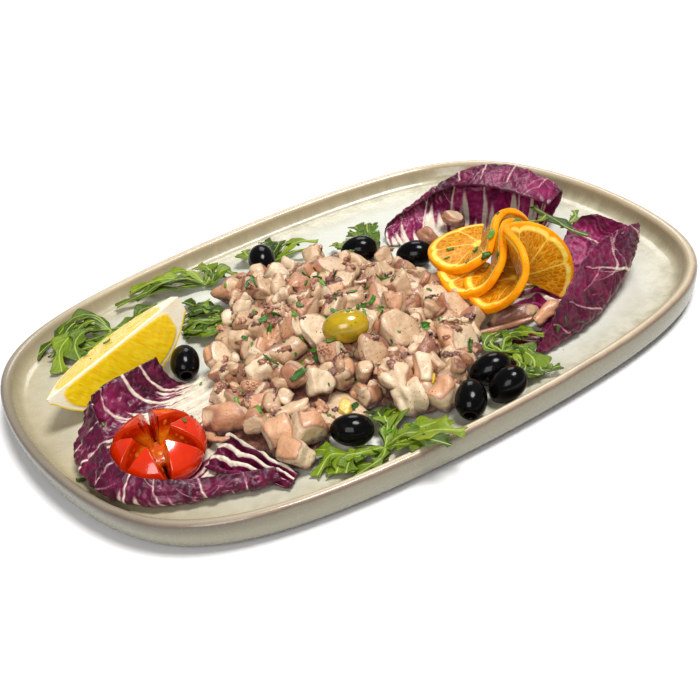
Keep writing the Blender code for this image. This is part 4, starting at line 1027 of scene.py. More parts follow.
def corePatch():
    settings = heapSettings
    shares = list(np.linspace(0.02, 0.91, 44)) + [0.935, 0.95, 0.945, 0.92, 0.88]
    drops = [None] * 44 + [6.0, 4.5, 2.5, 1.0, 0.4]
    points = []
    for share, drop in zip(shares, drops):
        row = []
        for angle in np.linspace(-math.pi, math.pi, 181):
            x, y = heapPlace(angle, share)
            if drop is None:
                high = heapHeight(x, y) - 2.5
                flat = settings["floor"] + 6.0
                z = high if share < 0.6 else high + (flat - high) * ((share - 0.6) / 0.31) ** 2
            else:
                z = settings["floor"] + drop
            z += 1.6 * noise.noise(Vector((x / 5.0, y / 5.0, z / 5.0))) * (1 if drop is None else 0.2)
            row.append((x * mm, y * mm, z * mm))
        points.append(row)
    # Painted shade: the core fills the gaps between the pieces and is made dark to stand for the shade there
    return gridPatch(points, cut=0.1, dark=0.9, tone=0.6, yellow=0.0)


def addHeap():
    settings = heapSettings
    draw = random.Random(settings["seed"])
    taken = [piece[0][:2] for piece in settings["pieces"]]
    taken += [olive[0][:2] for olive in oliveSettings["black"][:3]] + [oliveSettings["green"][0][:2]]
    large = []
    for count, piece in enumerate(settings["pieces"] + heapFillers(draw, taken)):
        large += chunkPatches(piece, draw.uniform(0.82, 1.0), count, whole=count in settings["whole"])
    large.append(curlPatch(settings["curl"], settings["curlWidths"], 3))
    # Two lemon yellow bits
    large += chunkPatches(((-11.5, -90, 19.5), 3.5, 5.5, 200, 40), 0.8, 501, yellow=1.0)
    large += chunkPatches(((-49.5, -76, 16.5), 3.0, 5.0, 250, 25), 0.7, 502, yellow=0.75)
    core = corePatch()
    others = treeOfPieces(["olives_black", "olive_whole_green", "orange_slice_1", "orange_slice_2",
                           "orange_slice_3", "tomato_cut", "lemon_cut"])
    draw = random.Random(settings["seed"] + 2)
    small = []
    heap = treeOf([core] + large)

    def dropped(limit, clear):
        # A free place on the heap's surface with whether the core is bare there, or None
        angle = draw.uniform(-math.pi, math.pi)
        x, y = heapPlace(angle, math.sqrt(draw.uniform(0, limit)))
        hit, normal, index, distance = heap.ray_cast(Vector((x, y, 70)) * mm, -up)
        if hit is None or others.find_nearest(hit)[3] < clear * mm:
            return None
        if any(math.hypot(x - px, y - py) < reach + 0.5 * clear for px, py, reach in settings["clear"]):
            return None
        return hit / mm, normal, index < len(core["faces"])

    count = 0
    while count < settings["chunks"]:
        radius = draw.uniform(3.0, 6.4)
        found = dropped(0.98, radius * 0.7 + 0.6)
        if found is None or found[0].z > 37:
            continue
        spot, normal, bare = found
        if not bare and draw.random() > 0.02:
            continue
        height = radius * 0.3 if bare else draw.uniform(-0.3, 0.2) * radius
        place = (spot.x, spot.y, max(spot.z + height, settings["rest"] + radius))
        piece = (place, draw.uniform(1.5, 2.6) * radius, radius, draw.uniform(0, 360),
                 draw.choice((20, 50, 75, 88)))
        small += chunkPatches(piece, draw.uniform(0.65, 1.0), 1000 + count, 12, 19, whole=draw.random() < 0.2)
        count += 1
        heap = treeOf([core] + large + small) if count % 20 == 0 else heap
    heap = treeOf([core] + large + small)
    count = 0
    while count < settings["slices"]:
        found = dropped(0.8, 8)
        if found is None or found[1].z < 0.25:
            continue
        spot, normal = found[:2]
        lean = math.degrees(math.acos(min(max(normal.z, -1), 1)))
        piece = (tuple(spot + normal * 0.6), draw.uniform(3.0, 4.0), draw.uniform(5.0, 7.5),
                 math.degrees(math.atan2(normal.y, normal.x)), min(lean, 50))
        small += chunkPatches(piece, draw.uniform(0.6, 0.9), 3000 + count, 16, 25)
        count += 1
    scraps, strands = [], []
    while len(scraps) < settings["frills"]:
        found = dropped(0.94, 3.2)
        if found:
            scraps.append(frillPatch(found[0], -0.9, (4, 9), (2.0, 4.2), 5000 + len(scraps), draw))
    while len(strands) < settings["strands"]:
        found = dropped(0.75, 5)
        if found:
            strand = frillPatch(found[0], 0.9, (10, 16), 1.6, 7000 + len(strands), draw)
            strand["dark"] = strand["dark"] * 0
            strand["cut"] = strand["cut"] * 0 + 1
            strands.append(strand)
    material = octopusMaterial()
    addPiece("octopus_arm_pieces", [core] + large, material, "octopus", "octopus_heap")
    addPiece("octopus_small_pieces", small, material, "octopus")
    addPiece("octopus_frills", scraps + strands, material, "octopus")
    draw = random.Random(settings["seed"] + 1)
    for count, piece in enumerate(bitSettings, 1):
        patches = chunkPatches(piece, draw.uniform(0.85, 1.0), 200 + count, 26, 37, whole=True)
        addPiece(f"octopus_loose_{count}", patches, material, "octopus", f"octopus_bit_{count}")


addHeap()
print("scene: octopus")


# Radicchio: each leaf is a cage of rows, from its heel to its curled edge, in millimetres

radicchioSettings = {
    "radicchio_left": {
        "cage": [
            [(-74, 15, 9.6), (-84, 13, 9.2), (-94, 12, 10), (-100, 14, 16), (-102, 16, 29)],
            [(-75, 8, 9.6), (-92, 5, 9.2), (-108, 4, 10), (-115, 7, 17), (-117, 12, 30)],
            [(-76, 0, 9.8), (-100, -4, 9.2), (-124, -1, 10), (-132, 7, 17), (-133, 14, 29)],
            [(-77, -8, 9.8), (-106, -14, 9.2), (-144, -8, 9.2), (-162, 3, 13), (-145, 3, 29)],
            [(-79, -17, 9.8), (-110, -26, 9.2), (-154, -20, 9.2), (-172, -11, 13), (-148, -20, 28)],
            [(-82, -26, 9.8), (-112, -38, 9.2), (-157, -42, 9.2), (-173, -36, 13), (-156, -42, 27)],
            [(-86, -35, 9.8), (-112, -50, 9.2), (-150, -60, 9.2), (-168, -59, 12), (-156, -58, 24.5)],
            [(-89, -43, 9.8), (-109, -60, 9.2), (-136, -75, 9.2), (-153, -78, 12), (-147, -70, 22.5)],
            [(-91, -50, 9.8), (-104, -67, 9.2), (-121, -82, 9.2), (-133, -88, 12), (-129, -81, 20)],
            [(-92, -56, 9.8), (-100, -73, 9.2), (-108, -86, 9.4), (-115, -96, 12), (-112, -89, 19)],
            [(-92, -62, 9.8), (-96, -78, 9.4), (-99, -88, 9.6), (-99, -101, 11), (-99, -95, 18)],
        ],
        "rows": 230, "columns": 100, "ruffle": 1.0, "white": 0.50, "streaks": 60, "branching": 0.16,
        "ribs": [(0.05, 0, 0.06, 1, 2.5, 1.0), (0.14, 0, 0.13, 1, 3.5, 1.2), (0.22, 0, 0.22, 1, 3.0, 0.8),
                 (0.30, 0, 0.31, 1, 3.5, 1.4), (0.37, 0, 0.385, 1, 3.0, 0.9), (0.45, 0, 0.455, 1, 3.5, 1.0),
                 (0.53, 0, 0.53, 1, 3.0, 0.5), (0.61, 0, 0.615, 1, 3.5, 0.9), (0.70, 0, 0.70, 1, 3.0, 0.6),
                 (0.79, 0, 0.80, 1, 3.5, 0.8), (0.90, 0, 0.90, 1, 2.5, 0.5)],
        "seed": 3,
    },
    "radicchio_back": {
        "cage": [
            [(64, 56, 9.5), (66, 62, 10), (67, 65, 12), (70, 67, 16), (76, 65, 19)],
            [(72, 46, 9.5), (76, 58, 11), (80, 66, 16), (86, 68, 22), (88, 62, 23)],
            [(82, 38, 9.5), (90, 54, 11), (98, 64, 20), (104, 64, 30), (102, 56, 29)],
            [(94, 34, 9.5), (108, 54, 11), (118, 66, 24), (120, 60, 37), (110, 47, 33)],
            [(104, 24, 9.5), (122, 42, 11), (134, 58, 26), (134, 50, 41), (112, 32, 36)],
            [(112, 12, 9.5), (130, 28, 11), (144, 44, 26), (143, 38, 41), (118, 16, 37)],
            [(118, 2, 9.5), (138, 14, 11), (151, 26, 24), (150, 20, 38), (124, 2, 34)],
            [(122, -6, 9.5), (140, 4, 11), (152, 8, 18), (154, 4, 30), (134, -5, 27)],
        ],
        "rows": 190, "columns": 110, "ruffle": 0.65, "white": 0.22, "streaks": 34, "pale": (0.35, 1.3),
        "branching": 0.12,
        "ribs": [(0.10, 0, 0.16, 0.8, 1.2, 0.4), (0.24, 0, 0.30, 0.9, 2.4, 0.6),
                 (0.42, 0, 0.44, 0.95, 3.0, 0.7),
                 (0.60, 0, 0.58, 0.95, 2.4, 0.6), (0.78, 0, 0.74, 0.95, 2.0, 0.6),
                 (0.92, 0, 0.90, 0.9, 1.4, 0.5)],
        "seed": 4,
    },
    "radicchio_right": {
        "cage": [
            [(44, -98, 9.2), (46, -99, 9.4), (48, -99, 10), (50, -97, 10.4), (50, -95, 10)],
            [(57, -99, 24), (60, -100.5, 14), (63, -99, 9.6), (66, -88, 9.4), (68, -78, 9.6)],
            [(66, -97, 32), (76, -100.5, 16), (78, -99, 9.8), (82, -80, 9.4), (84, -66, 9.8)],
            [(80, -90, 38), (93, -95.5, 18), (96, -93, 10.2), (100, -68, 9.4), (100, -48, 10)],
            [(98, -82, 41), (110, -89, 22), (116, -84, 12), (118, -54, 9.6), (114, -32, 10.5)],
            [(115, -76, 40.5), (127, -82, 28), (132, -75, 15), (136, -44, 11), (134, -18, 14)],
            [(131, -73.5, 38.5), (137, -76, 32), (142, -66, 20), (148, -42, 16), (144, -16, 20)],
            [(138, -73, 37), (140, -72, 34), (144, -64, 28), (148, -50, 24), (147, -30, 24)],
        ],
        "rows": 190, "columns": 110, "ruffle": 0.9, "white": -0.6, "streaks": 34, "branching": 0.06,
        "ribs": [(0.66, 0.40, 0.60, 0.22, 1.6, 1.1), (0.60, 0.22, 0.50, 0.04, 1.0, 0.5),
                 (0.60, 0.22, 0.70, 0.02, 1.0, 0.5), (0.86, 0.36, 0.88, 0.02, 0.9, 0.4),
                 (0.40, 0.36, 0.30, 0.06, 0.7, 0.4), (0.20, 0.30, 0.16, 0.04, 0.5, 0.3),
                 (0.50, 0.95, 0.52, 0.45, 1.2, 0.6), (0.75, 0.95, 0.74, 0.45, 1.4, 0.6)],
        "seed": 5,
    },
    "radicchio_under": {
        "cage": [
            [(26, -88, 9.2), (30, -96, 9.8), (36, -104, 9.4)],
            [(34, -80, 10.4), (40, -90, 9.4), (46, -94, 10.2)],
            [(44, -76, 9.4), (50, -84, 10.8), (56, -90, 9.4)],
            [(54, -72, 10.2), (60, -80, 9.4), (64, -84, 9.8)],
        ],
        "rows": 70, "columns": 50, "ruffle": 0.25, "white": -0.6, "streaks": 20, "branching": 0.2,
        "ribs": [(0.3, 0, 0.35, 1, 1.2, 0.6), (0.7, 0, 0.66, 1, 1.0, 0.5)],
        "seed": 6,
    },
}


# Striped folds between the tomato and the octopus
radicchioFolds = {
    "cage": [
        [(-99.5, -49.5, 14.5), (-106.2, -55.5, 13.5), (-113.9, -59.2, 12), (-119.5, -62.5, 11)],
        [(-98.8, -65.0, 14.5), (-104.5, -68.2, 13.5), (-110.9, -71.7, 12.5), (-116.9, -74.5, 11.5)],
        [(-96.6, -77.1, 14), (-101.5, -79.9, 13.5), (-106.0, -81.9, 12.5), (-110.5, -83.9, 11.5)],
        [(-92.5, -88.0, 13), (-95.9, -90.0, 12.5), (-99.2, -91.9, 12), (-103.6, -93.9, 11.5)],
        [(-89.8, -97.3, 11.5), (-92.4, -99.9, 11.5), (-95.3, -102.1, 11.5), (-97.9, -103.7, 11)],
    ],
    "rows": 120, "columns": 90, "ruffle": 1.0, "white": 0.0, "streaks": 9, "folds": 3.2, "seed": 8,
}


# Pale shreds of leaf below the orange
radicchioShreds = {
    "cage": [
        [(58, -50, 10.5), (56, -56, 12), (55, -63, 10)],
        [(72, -44, 10), (70, -54, 12), (70, -62, 10)],
        [(86, -48, 10), (82, -58, 12.5), (74, -68, 10.5)],
        [(98, -58, 11), (88, -68, 12.5), (76, -78, 11)],
        [(98, -74, 12), (90, -78, 12.5), (74, -86, 11)],
    ],
    "rows": 90, "columns": 60, "ruffle": 0.8, "white": 0.0, "streaks": 9, "pale": (-1.5, 1.0),
    "folds": 2.2, "seed": 9,
}


def cagePoints(cage, places):
    # Cubic spline weights of one side of a cage, whose ends are drawn out by a step
    count = len(cage)
    extended = np.concatenate([[2 * cage[0] - cage[1]], cage, [2 * cage[-1] - cage[-2]]])
    spots = places * (count - 1)
    index = np.minimum(spots.astype(int), count - 2)
    part = (spots - index).reshape((-1,) + (1,) * (cage.ndim - 1))
    weights = ((1 - part) ** 3, 3 * part ** 3 - 6 * part ** 2 + 4, -3 * part ** 3 + 3 * part ** 2 + 3 * part + 1,
               part ** 3)
    return sum(weight * extended[index + step] for step, weight in enumerate(weights)) / 6


def leafVeins(settings, lengthU, lengthV):
    # Ribs as lines in leaf places with a width in millimetres, and thin side veins that lean forward
    draw = random.Random(settings["seed"])
    lines = []
    steps = 16
    for startU, startV, endU, endV, wide, thin in settings.get("ribs", ()):
        sway = draw.uniform(0, 6)
        u, v = startU, startV
        for step in range(1, steps + 1):
            share = step / steps
            nextU = startU + (endU - startU) * share + 0.006 * math.sin(share * 7 + sway)
            nextV = startV + (endV - startV) * share
            lines.append((u, v, nextU, nextV, wide + (thin - wide) * share ** 0.6))
            if step > 2 and draw.random() < settings["branching"]:
                way = draw.choice((-1, 1))
                heading = math.atan2((nextV - v) * lengthV, (nextU - u) * lengthU) + way * draw.uniform(0.5, 0.9)
                sideU, sideV = nextU, nextV
                for part in range(5):
                    heading -= way * 0.09
                    farU = sideU + 3.2 * math.cos(heading) / lengthU
                    farV = sideV + 3.2 * math.sin(heading) / lengthV
                    lines.append((sideU, sideV, farU, farV, 0.55 - 0.07 * part))
                    sideU, sideV = farU, farV
            u, v = nextU, nextV
    return lines


def veinMask(settings, u, v, stepU, stepV):
    vein = np.zeros_like(u)
    for startU, startV, endU, endV, wide in leafVeins(settings, stepU.mean(), stepV.mean()):
        dirU, dirV = (endU - startU) * stepU, (endV - startV) * stepV
        offU, offV = (u - startU) * stepU, (v - startV) * stepV
        part = np.clip((offU * dirU + offV * dirV) / np.maximum(dirU ** 2 + dirV ** 2, 1e-9), 0, 1)
        gap = np.hypot(offU - part * dirU, offV - part * dirV)
        vein = np.maximum(vein, np.clip(1.3 - gap / (wide / 2 + 0.25), 0, 1) * min(1, 0.32 + wide * 0.55))
    return vein


def radicchioPatch(settings):
    rows, columns, seed = settings["rows"], settings["columns"], settings["seed"]
    alongPlaces, acrossPlaces = np.linspace(0, 1, rows), np.linspace(0, 1, columns)
    surface = cagePoints(np.array(settings["cage"], dtype=float), alongPlaces)
    surface = np.swapaxes(cagePoints(np.swapaxes(surface, 0, 1), acrossPlaces), 0, 1)
    u, v = np.meshgrid(alongPlaces, acrossPlaces, indexing="ij")
    alongSteps, acrossSteps = np.gradient(surface, axis=0), np.gradient(surface, axis=1)
    stepU = np.linalg.norm(alongSteps, axis=2) * (rows - 1)
    stepV = np.linalg.norm(acrossSteps, axis=2) * (columns - 1)
    vein = veinMask(settings, u, v, stepU, stepV)
    normal = np.cross(acrossSteps, alongSteps)
    normal /= np.maximum(np.linalg.norm(normal, axis=2, keepdims=True), 1e-9)
    ruffle, streak, crease = np.zeros((3, rows, columns))
    along = stepU.mean() / 5.5
    for place in np.ndindex(rows, columns):
        point = Vector(surface[place])
        edge = v[place]
        ruffle[place] = (
            noise.noise(point / 12) * 1.3 * edge + noise.noise(point / 5.5) * 0.7
            - abs(noise.noise(point / 4.0 + Vector((9, 0, 0)))) * 1.7 + abs(noise.noise(point / 1.9)) * 0.4
        )
        sway = noise.noise(point / 14) * 2.2
        crease[place] = 1 - 2.6 * abs(noise.noise(Vector((u[place] * along + sway, edge * 3.2, seed))))
        streak[place] = noise.noise(Vector((u[place] * settings["streaks"], edge * 2.0, seed)))
    low, high = settings.get("pale", (0, 0))
    pale = np.clip((u - low) / (high - low), 0, 1) if high else 0.0
    white = np.clip((settings["white"] - v) * 4.0 + streak * 2.6 + 0.2, 0, 1)
    lift = (ruffle + 0.75 * crease) * settings["ruffle"] * (1 - 0.8 * white) + 0.4 * vein * (vein > 0.35)
    if "folds" in settings:
        # Ridges that run along the leaf, white along some of their crests
        wave = math.tau * (settings["folds"] * v + 0.35 * np.sin(u * 5) + 0.12 * np.sin(u * 17))
        lift = lift * 0.5 + 1.9 * np.sin(wave) * np.minimum(1, 6 * np.minimum(u, 1 - u) + 0.25)
        white = np.clip((np.sin(wave) - 0.30) * 3 + streak * 1.6 - 1.1 * u, 0, 1) * (v < 0.8)
    ends = np.minimum(np.minimum(u, 1 - u) * rows / 8, np.minimum(1 - v, v + 1) * columns / 8)
    edge = np.minimum(ends, 1)
    surface = surface + normal * lift[..., None]
    surface[..., 2] = np.maximum(surface[..., 2], 8.9)
    # The crease number is low in hollows and high on ridges; the material paints shade and highlight from it
    return sheetPatch(surface * mm, 0.75 + 0.35 * vein * edge, vein=np.maximum(vein, white), pale=pale,
                      rim=1 - edge, crease=np.clip(crease * 0.6 + ruffle * 0.35 + 0.2, 0, 1))


def radicchioMaterial():
    look = Look("radicchio_leaf", Roughness=0.36, Specular_IOR_Level=0.35, Coat_Weight=0.1, Coat_Roughness=0.2,
                Subsurface_Weight=0.06, Subsurface_Scale=0.002)
    crease = look.number("crease")
    blotch, grain = look.noise(55.0, 4.0, 0.6), look.noise(330.0, 5.0, 0.7)
    blade = look.ramp(blotch * 0.7 + grain * 0.35, (0.34, (52, 2, 28)), (0.50, (88, 3, 46)),
                      (0.62, (120, 12, 64)), (0.78, (150, 42, 94)))
    light = look.ramp(blotch * 0.6 + grain * 0.4, (0.34, (116, 6, 60)), (0.52, (148, 26, 88)),
                      (0.70, (188, 84, 132)))
    body = look.mix(look.number("pale"), blade, light)
    # Painted shade darkens the creases, and a painted lilac highlight lies on the ridges between them
    body = look.mix(look.ramp(crease, (0.05, 0.55), (0.40, 0.0)), body, (34, 8, 22))
    body = look.mix(look.ramp(crease, (0.55, 0.0), (0.95, 0.15)), body, (180, 100, 130))
    net = look.spots(210.0, feature="DISTANCE_TO_EDGE")
    body = look.mix(look.ramp(net, (0.0, 0.10), (0.05, 0.0)), body, (180, 110, 136))
    body = look.mix(look.number("rim") * 0.5, body, (44, 12, 28))
    milk = look.ramp(grain, (0.3, (204, 190, 164)), (0.7, (236, 228, 208)))
    mask = look.number("vein") + (grain - 0.5) * 0.3
    body = look.mix(look.ramp(mask, (0.16, 0.0), (0.40, 0.5)), body, (186, 112, 136))
    body = look.mix(look.ramp(mask, (0.38, 0.0), (0.80, 0.96)), body, milk)
    return look.done(body, look.ramp(grain, (0.3, 0.26), (0.8, 0.46)), look.bump(net * 0.8 + grain, 0.5, 0.0006))


def addRadicchio():
    material = radicchioMaterial()
    for node, settings in radicchioSettings.items():
        patches = [radicchioPatch(settings)]
        pale, across = patches[0]["pale"], patches[0]["uv"][:, 0]
        if node == "radicchio_right":
            # The inner face behind the upright flap is pale pink
            patches[0]["pale"] = np.clip((across - 0.30) * 3.0, 0, 0.9)
            patches.append(radicchioPatch(radicchioShreds))
        if node == "radicchio_back":
            # So is the hollow under the back leaf's roll
            patches[0]["pale"] = np.clip(pale + np.clip((0.58 - across) * 6, 0, 0.75), 0, 1)
        if node == "radicchio_left":
            patches.append(radicchioPatch(radicchioFolds))
        addPiece(node + "_leaf", patches, material, "radicchio", node)


addRadicchio()
print("scene: radicchio")


# Rocket: bundles of leaves, each leaf a path from its bundle's core with its width, in millimetres

rocketSettings = {
    "arugula_left": ((-98, 92, 11), [
        ([(-108, 101, 14), (-124, 102, 14), (-139, 100, 10)], 18),
        ([(-112, 98, 15), (-128, 90, 14), (-135, 74, 9.8)], 17),
        ([(-100, 104, 16), (-110, 109, 18), (-122, 106, 14)], 13),
        ([(-102, 86, 12), (-112, 80, 13), (-120, 84, 12)], 16),
        ([(-86, 92, 11), (-76, 97, 12), (-66, 98, 10)], 13),
    ]),
    "arugula_left_back": ((-36, 96, 11), [
        ([(-50, 103, 13), (-66, 108, 15), (-84, 112, 12)], 13),
        ([(-42, 104, 14), (-56, 112, 17), (-72, 118, 14)], 12),
        ([(-38, 108, 16), (-46, 116, 16), (-56, 119, 14)], 12),
        ([(-30, 100, 14), (-28, 108, 15), (-30, 117, 13)], 14),
        ([(-30, 94, 12), (-24, 96, 15), (-18, 92, 12)], 13),
    ]),
    "arugula_lemon": ((-52, 60, 10.5), [
        ([(-46, 60, 11), (-52, 72, 13), (-54, 88, 11)], 14),
        ([(-44, 62, 11), (-54, 68, 14), (-63, 72, 10)], 13),
        ([(-46, 54, 11), (-60, 52, 14), (-70, 54, 10)], 15),
        ([(-52, 44, 11), (-62, 42, 14), (-68, 50, 12)], 13),
    ]),
    "arugula_back_left": ((4, 92, 10.5), [
        ([(4, 92, 11), (12, 100, 15), (13, 114, 12)], 14),
        ([(0, 92, 11), (-4, 102, 15), (0, 114, 12)], 14),
        ([(8, 92, 11), (24, 92, 15), (34, 86, 14)], 9),
    ]),
    "arugula_back": ((56, 60, 10.5), [
        ([(54, 54, 11), (55, 66, 16), (58, 82, 15)], 17),
        ([(52, 60, 11), (42, 66, 15), (38, 76, 13)], 13),
        ([(56, 58, 11), (61, 68, 14), (68, 78, 14)], 9),
    ]),
    "arugula_front": ((-50, -109, 10), [
        ([(-42, -115, 13), (-34, -127, 20.5), (-25, -137, 21)], 18),
        ([(-42, -104, 14), (-36, -96, 15), (-30, -88, 12)], 17),
        ([(-40, -110, 13), (-30, -113, 14), (-18, -114, 12)], 15),
        ([(-64, -106, 12), (-74, -101, 14), (-84, -104, 10)], 13),
        ([(-60, -114, 10), (-70, -112, 11), (-80, -107, 10)], 11),
        ([(-66, -102, 11), (-74, -95, 14), (-78, -88, 12)], 11),
    ]),
    "arugula_right": ((34, -88, 13), [
        ([(38, -97, 16), (39, -106, 14), (33, -113, 10.5)], 17),
        ([(40, -106, 13), (38, -114, 12), (46, -117, 12)], 11),
        ([(42, -84, 15), (50, -84, 15), (58, -90, 13)], 12),
        ([(30, -80, 14), (36, -74, 15), (44, -74, 14)], 10),
    ]),
    "arugula_sprig": ((115, -40, 33), [
        ([(121, -8, 31), (116, -30, 34), (113, -48, 35), (113, -62, 36)], 9),
        ([(118, -24, 33), (110, -28, 35), (104, -22, 34)], 6),
        ([(114, -42, 34), (122, -42, 36), (128, -34, 35)], 7),
    ]),
}


def rocketLeaf(path, width, seed, lobes=2.5):
    # Narrow stalk, side lobes with rounded teeth and a broad end, folded a little along the midrib
    draw = random.Random(seed)
    points = [Vector(point) for point in path]
    stations = 56
    middle, midrib = [], []
    sway = draw.uniform(0, 6)
    fold = draw.uniform(0.05, 0.26)
    for place in np.linspace(0, 1, stations):
        spot = smoothRow(points, place)
        travel = smoothRow(points, min(place + 0.04, 1)) - smoothRow(points, max(place - 0.04, 0))
        side = travel.cross(up).normalized()
        above = side.cross(travel).normalized()
        wide = math.sin(math.pi * min(place * 0.92 + 0.04, 1)) ** 0.6
        bow = 0.5 * noise.noise(Vector((place * 4, seed * 1.7, 3.0)))
        row, ribRow = [], []
        for across in np.linspace(-1, 1, 13):
            way = 0.10 if across > 0 else -0.06
            wave = 0.5 + 0.5 * math.cos((place + way * 0.6) * math.tau * lobes + math.pi + 0.5 * math.sin(sway))
            tooth = 1 + 0.10 * math.sin(place * 46 + sway + across)
            half = width * (0.42 + 0.78 * place) * wide * (0.26 + 0.74 * wave ** 1.1) * tooth
            reach = max(half, 1.5 if place < 0.3 else 0.5) / 2 * across
            ripple = 0.9 * noise.noise(Vector((place * 6 + seed, across * 1.4, sway))) * abs(across)
            lift = abs(reach) * fold + ripple + bow
            point = spot + side * reach + above * lift + travel.normalized() * abs(reach) * 0.5
            row.append(tuple(point))
            ribRow.append(math.exp(-(reach / 0.55) ** 2))
        middle.append(row)
        midrib.append(ribRow)
    middle, midrib = np.array(middle), np.array(midrib)
    # The leaves lie on the floor and stay inside the front edge
    middle[..., 2] = np.maximum(middle[..., 2], 8.8)
    middle[..., 1] = np.maximum(middle[..., 1], -141.6)
    thick = 0.42 + 0.9 * midrib * np.linspace(1, 0.3, stations)[:, None]
    return sheetPatch(middle * mm, thick, rib=midrib, tone=draw.random())


def rocketMaterial():
    look = Look("rocket_leaf", Roughness=0.42, Specular_IOR_Level=0.35, Coat_Weight=0.05, Coat_Roughness=0.3,
                Subsurface_Weight=0.12, Subsurface_Scale=0.002)
    across, along = look.parts(look.mapped("UV"))[:2]
    side = abs(look.math("FRACT", along * 13.0 - abs(across - 0.5) * 3.4) - 0.5)
    blotch = look.noise(140.0, 4.0)
    blade = look.ramp(look.number("tone") * 0.5 + blotch * 0.5, (0.20, (40, 62, 2)), (0.45, (66, 92, 4)),
                      (0.65, (100, 124, 8)), (0.85, (138, 156, 26)))
    under = look.mix(0.3, blade, (150, 168, 70))
    body = look.mix(look.ramp(look.number("face"), (0.2, 1.0), (0.8, 0.0)), blade, under)
    body = look.mix(look.ramp(side, (0.0, 0.22), (0.07, 0.0)), body, (160, 178, 70))
    body = look.mix(look.ramp(look.number("rib"), (0.45, 0.0), (0.9, 0.75)), body, (182, 196, 96))
    height = look.noise(420.0, 4.0) - look.ramp(side, (0.0, 0.8), (0.12, 0.0))
    return look.done(body, look.ramp(blotch, (0.3, 0.28), (0.8, 0.5)), look.bump(height, 0.45, 0.0005))


def addRocket():
    material = rocketMaterial()
    seed = 40
    for node, (core, leaves) in rocketSettings.items():
        draw = random.Random(seed)
        patches = []
        for path, width in leaves:
            seed += 1
            patches.append(rocketLeaf([core] + path, width * 1.05, seed))
            if node == "arugula_sprig":
                continue
            # Further leaves lie over and under the main ones
            for copy in range(2):
                turn = spin(math.radians(draw.choice((-1, 1)) * draw.uniform(9, 26)), "Z")
                size = draw.uniform(0.62, 0.95)
                middle = Vector(core)
                turned = [middle + turn @ ((Vector(point) - middle) * size) + up * draw.uniform(-1.0, 2.0)
                          for point in path]
                seed += 1
                patches.append(rocketLeaf([core] + turned, width * draw.uniform(0.6, 0.95), seed, 3.2))
        addPiece(node + "_leaves", patches, material, "rocket", node)


addRocket()
print("scene: rocket")


# Chopped parsley and ground pepper, scattered where the photograph has them

sprinkleSettings = {
    "parsley": 160, "parsleySeed": 21, "pepper": 800, "pepperSeed": 22,
    # Centre and spread of each scattering in millimetres, and its share
    "zones": [((-20, -18), (46, 46), 0.66), ((72, -30), (20, 26), 0.09), ((-118, -22), (30, 28), 0.11),
              ((52, -92), (16, 10), 0.04), ((-118, 50), (14, 14), 0.02), ((60, 60), (14, 10), 0.02),
              ((-40, -106), (22, 8), 0.03), ((-60, 70), (22, 16), 0.03)],
    "large": [(-28, 50), (-66, -39), (-86, -60), (-62, -60), (20, -80)], "largeSize": 9.0,
}


def flakePatch(spot, normal, size, draw):
    # A torn scrap of leaf, bent and a little curled
    rows = 5
    jag = [draw.uniform(0.55, 1.15) for step in range(rows * 2)]
    curl = draw.uniform(-0.35, 0.45)
    middle = []
    for row, along in enumerate(np.linspace(-0.5, 0.5, rows)):
        line = []
        for across in np.linspace(-0.5, 0.5, 5):
            wide = jag[row + (rows if across > 0 else 0)] * (1 - 0.8 * abs(along))
            lift = curl * size * (across ** 2 * 2 + along ** 2)
            line.append((along * size, across * size * 0.62 * wide, lift))
        middle.append(line)
    place = (Matrix.Translation(spot + normal * 0.00035) @ facing(normal) @ spin(draw.uniform(0, 6.3), "Z")
             @ spin(draw.uniform(-0.35, 0.35), "X"))
    return moved(sheetPatch(np.array(middle) * mm, 0.28, rib=0.0, tone=draw.uniform(0, 0.55)), place)


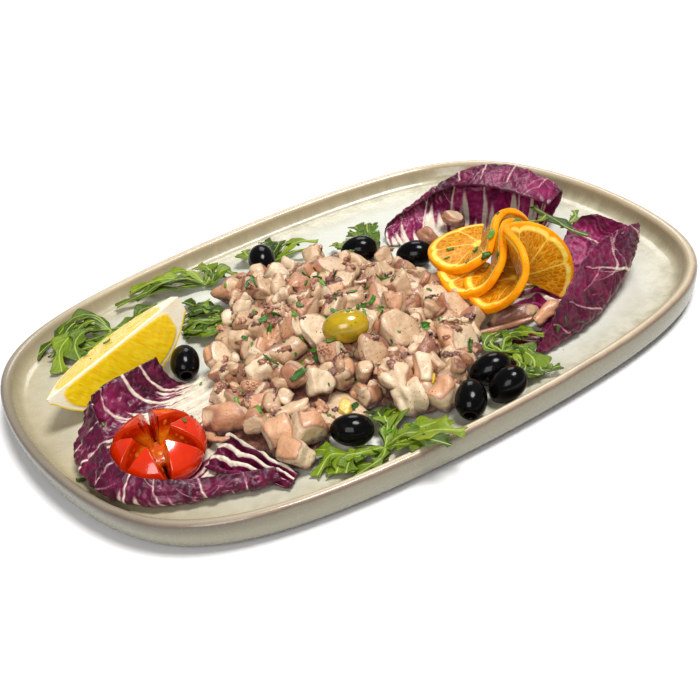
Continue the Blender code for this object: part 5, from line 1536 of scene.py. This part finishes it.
def parsleyMaterial():
    look = Look("chopped_parsley", Roughness=0.42, Coat_Weight=0.1, Coat_Roughness=0.3)
    body = look.ramp(look.number("tone") + look.noise(600.0) * 0.5, (0.25, (30, 70, 12)), (0.55, (56, 108, 18)),
                     (0.85, (100, 150, 30)))
    return look.done(body, None, look.bump(look.noise(900.0), 0.4, 0.0003))


def pepperMaterial():
    look = Look("ground_pepper", Roughness=0.7)
    body = look.ramp(look.number("tone"), (0.2, (24, 18, 14)), (0.7, (70, 48, 32)), (1.0, (120, 92, 60)))
    return look.done(body, None, look.bump(look.noise(3000.0), 0.3, 0.0001))


def addSprinkles():
    settings = sprinkleSettings
    tree = treeOfPieces([piece.name for piece in bpy.data.objects if piece.type == "MESH"
                         and piece.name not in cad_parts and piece.name != "studio_floor"])

    def below(x, y):
        hit, normal, index, distance = tree.ray_cast(Vector((x, y, 70)) * mm, -up)
        return (hit, normal if normal.z > 0 else -normal) if hit else None

    def scattered():
        zones = settings["zones"]
        centre, spreads, share = draw.choices(zones, [zone[2] for zone in zones])[0]
        return below(draw.gauss(centre[0], spreads[0] * 0.6), draw.gauss(centre[1], spreads[1] * 0.6))

    draw = random.Random(settings["parsleySeed"])
    flakes = []
    while len(flakes) < settings["parsley"]:
        found = scattered()
        if found and found[1].z > 0.2:
            flakes.append(flakePatch(*found, draw.uniform(1.8, 6.0), draw))
    flakes += [flakePatch(*below(x, y), settings["largeSize"], draw) for x, y in settings["large"]]
    addPiece("parsley_flakes", flakes, parsleyMaterial(), "rocket")

    draw = random.Random(settings["pepperSeed"])
    specks = []
    while len(specks) < settings["pepper"]:
        found = scattered()
        if not found:
            continue
        size = draw.uniform(0.16, 0.42) * mm
        points = np.array([[(math.sin(tilt) * math.cos(turn) * draw.uniform(0.7, 1.2) * size,
                             math.sin(tilt) * math.sin(turn) * draw.uniform(0.7, 1.2) * size,
                             math.cos(tilt) * size * 0.8)
                            for turn in np.linspace(0, math.tau, 6)] for tilt in (0.01, 0.9, 2.2, 3.13)])
        points[:, -1] = points[:, 0]
        specks.append(moved(gridPatch(points, tone=draw.random()), Matrix.Translation(found[0])))
    addPiece("pepper_specks", specks, pepperMaterial(), "black_olive")


addSprinkles()
print("scene: parsley and pepper")
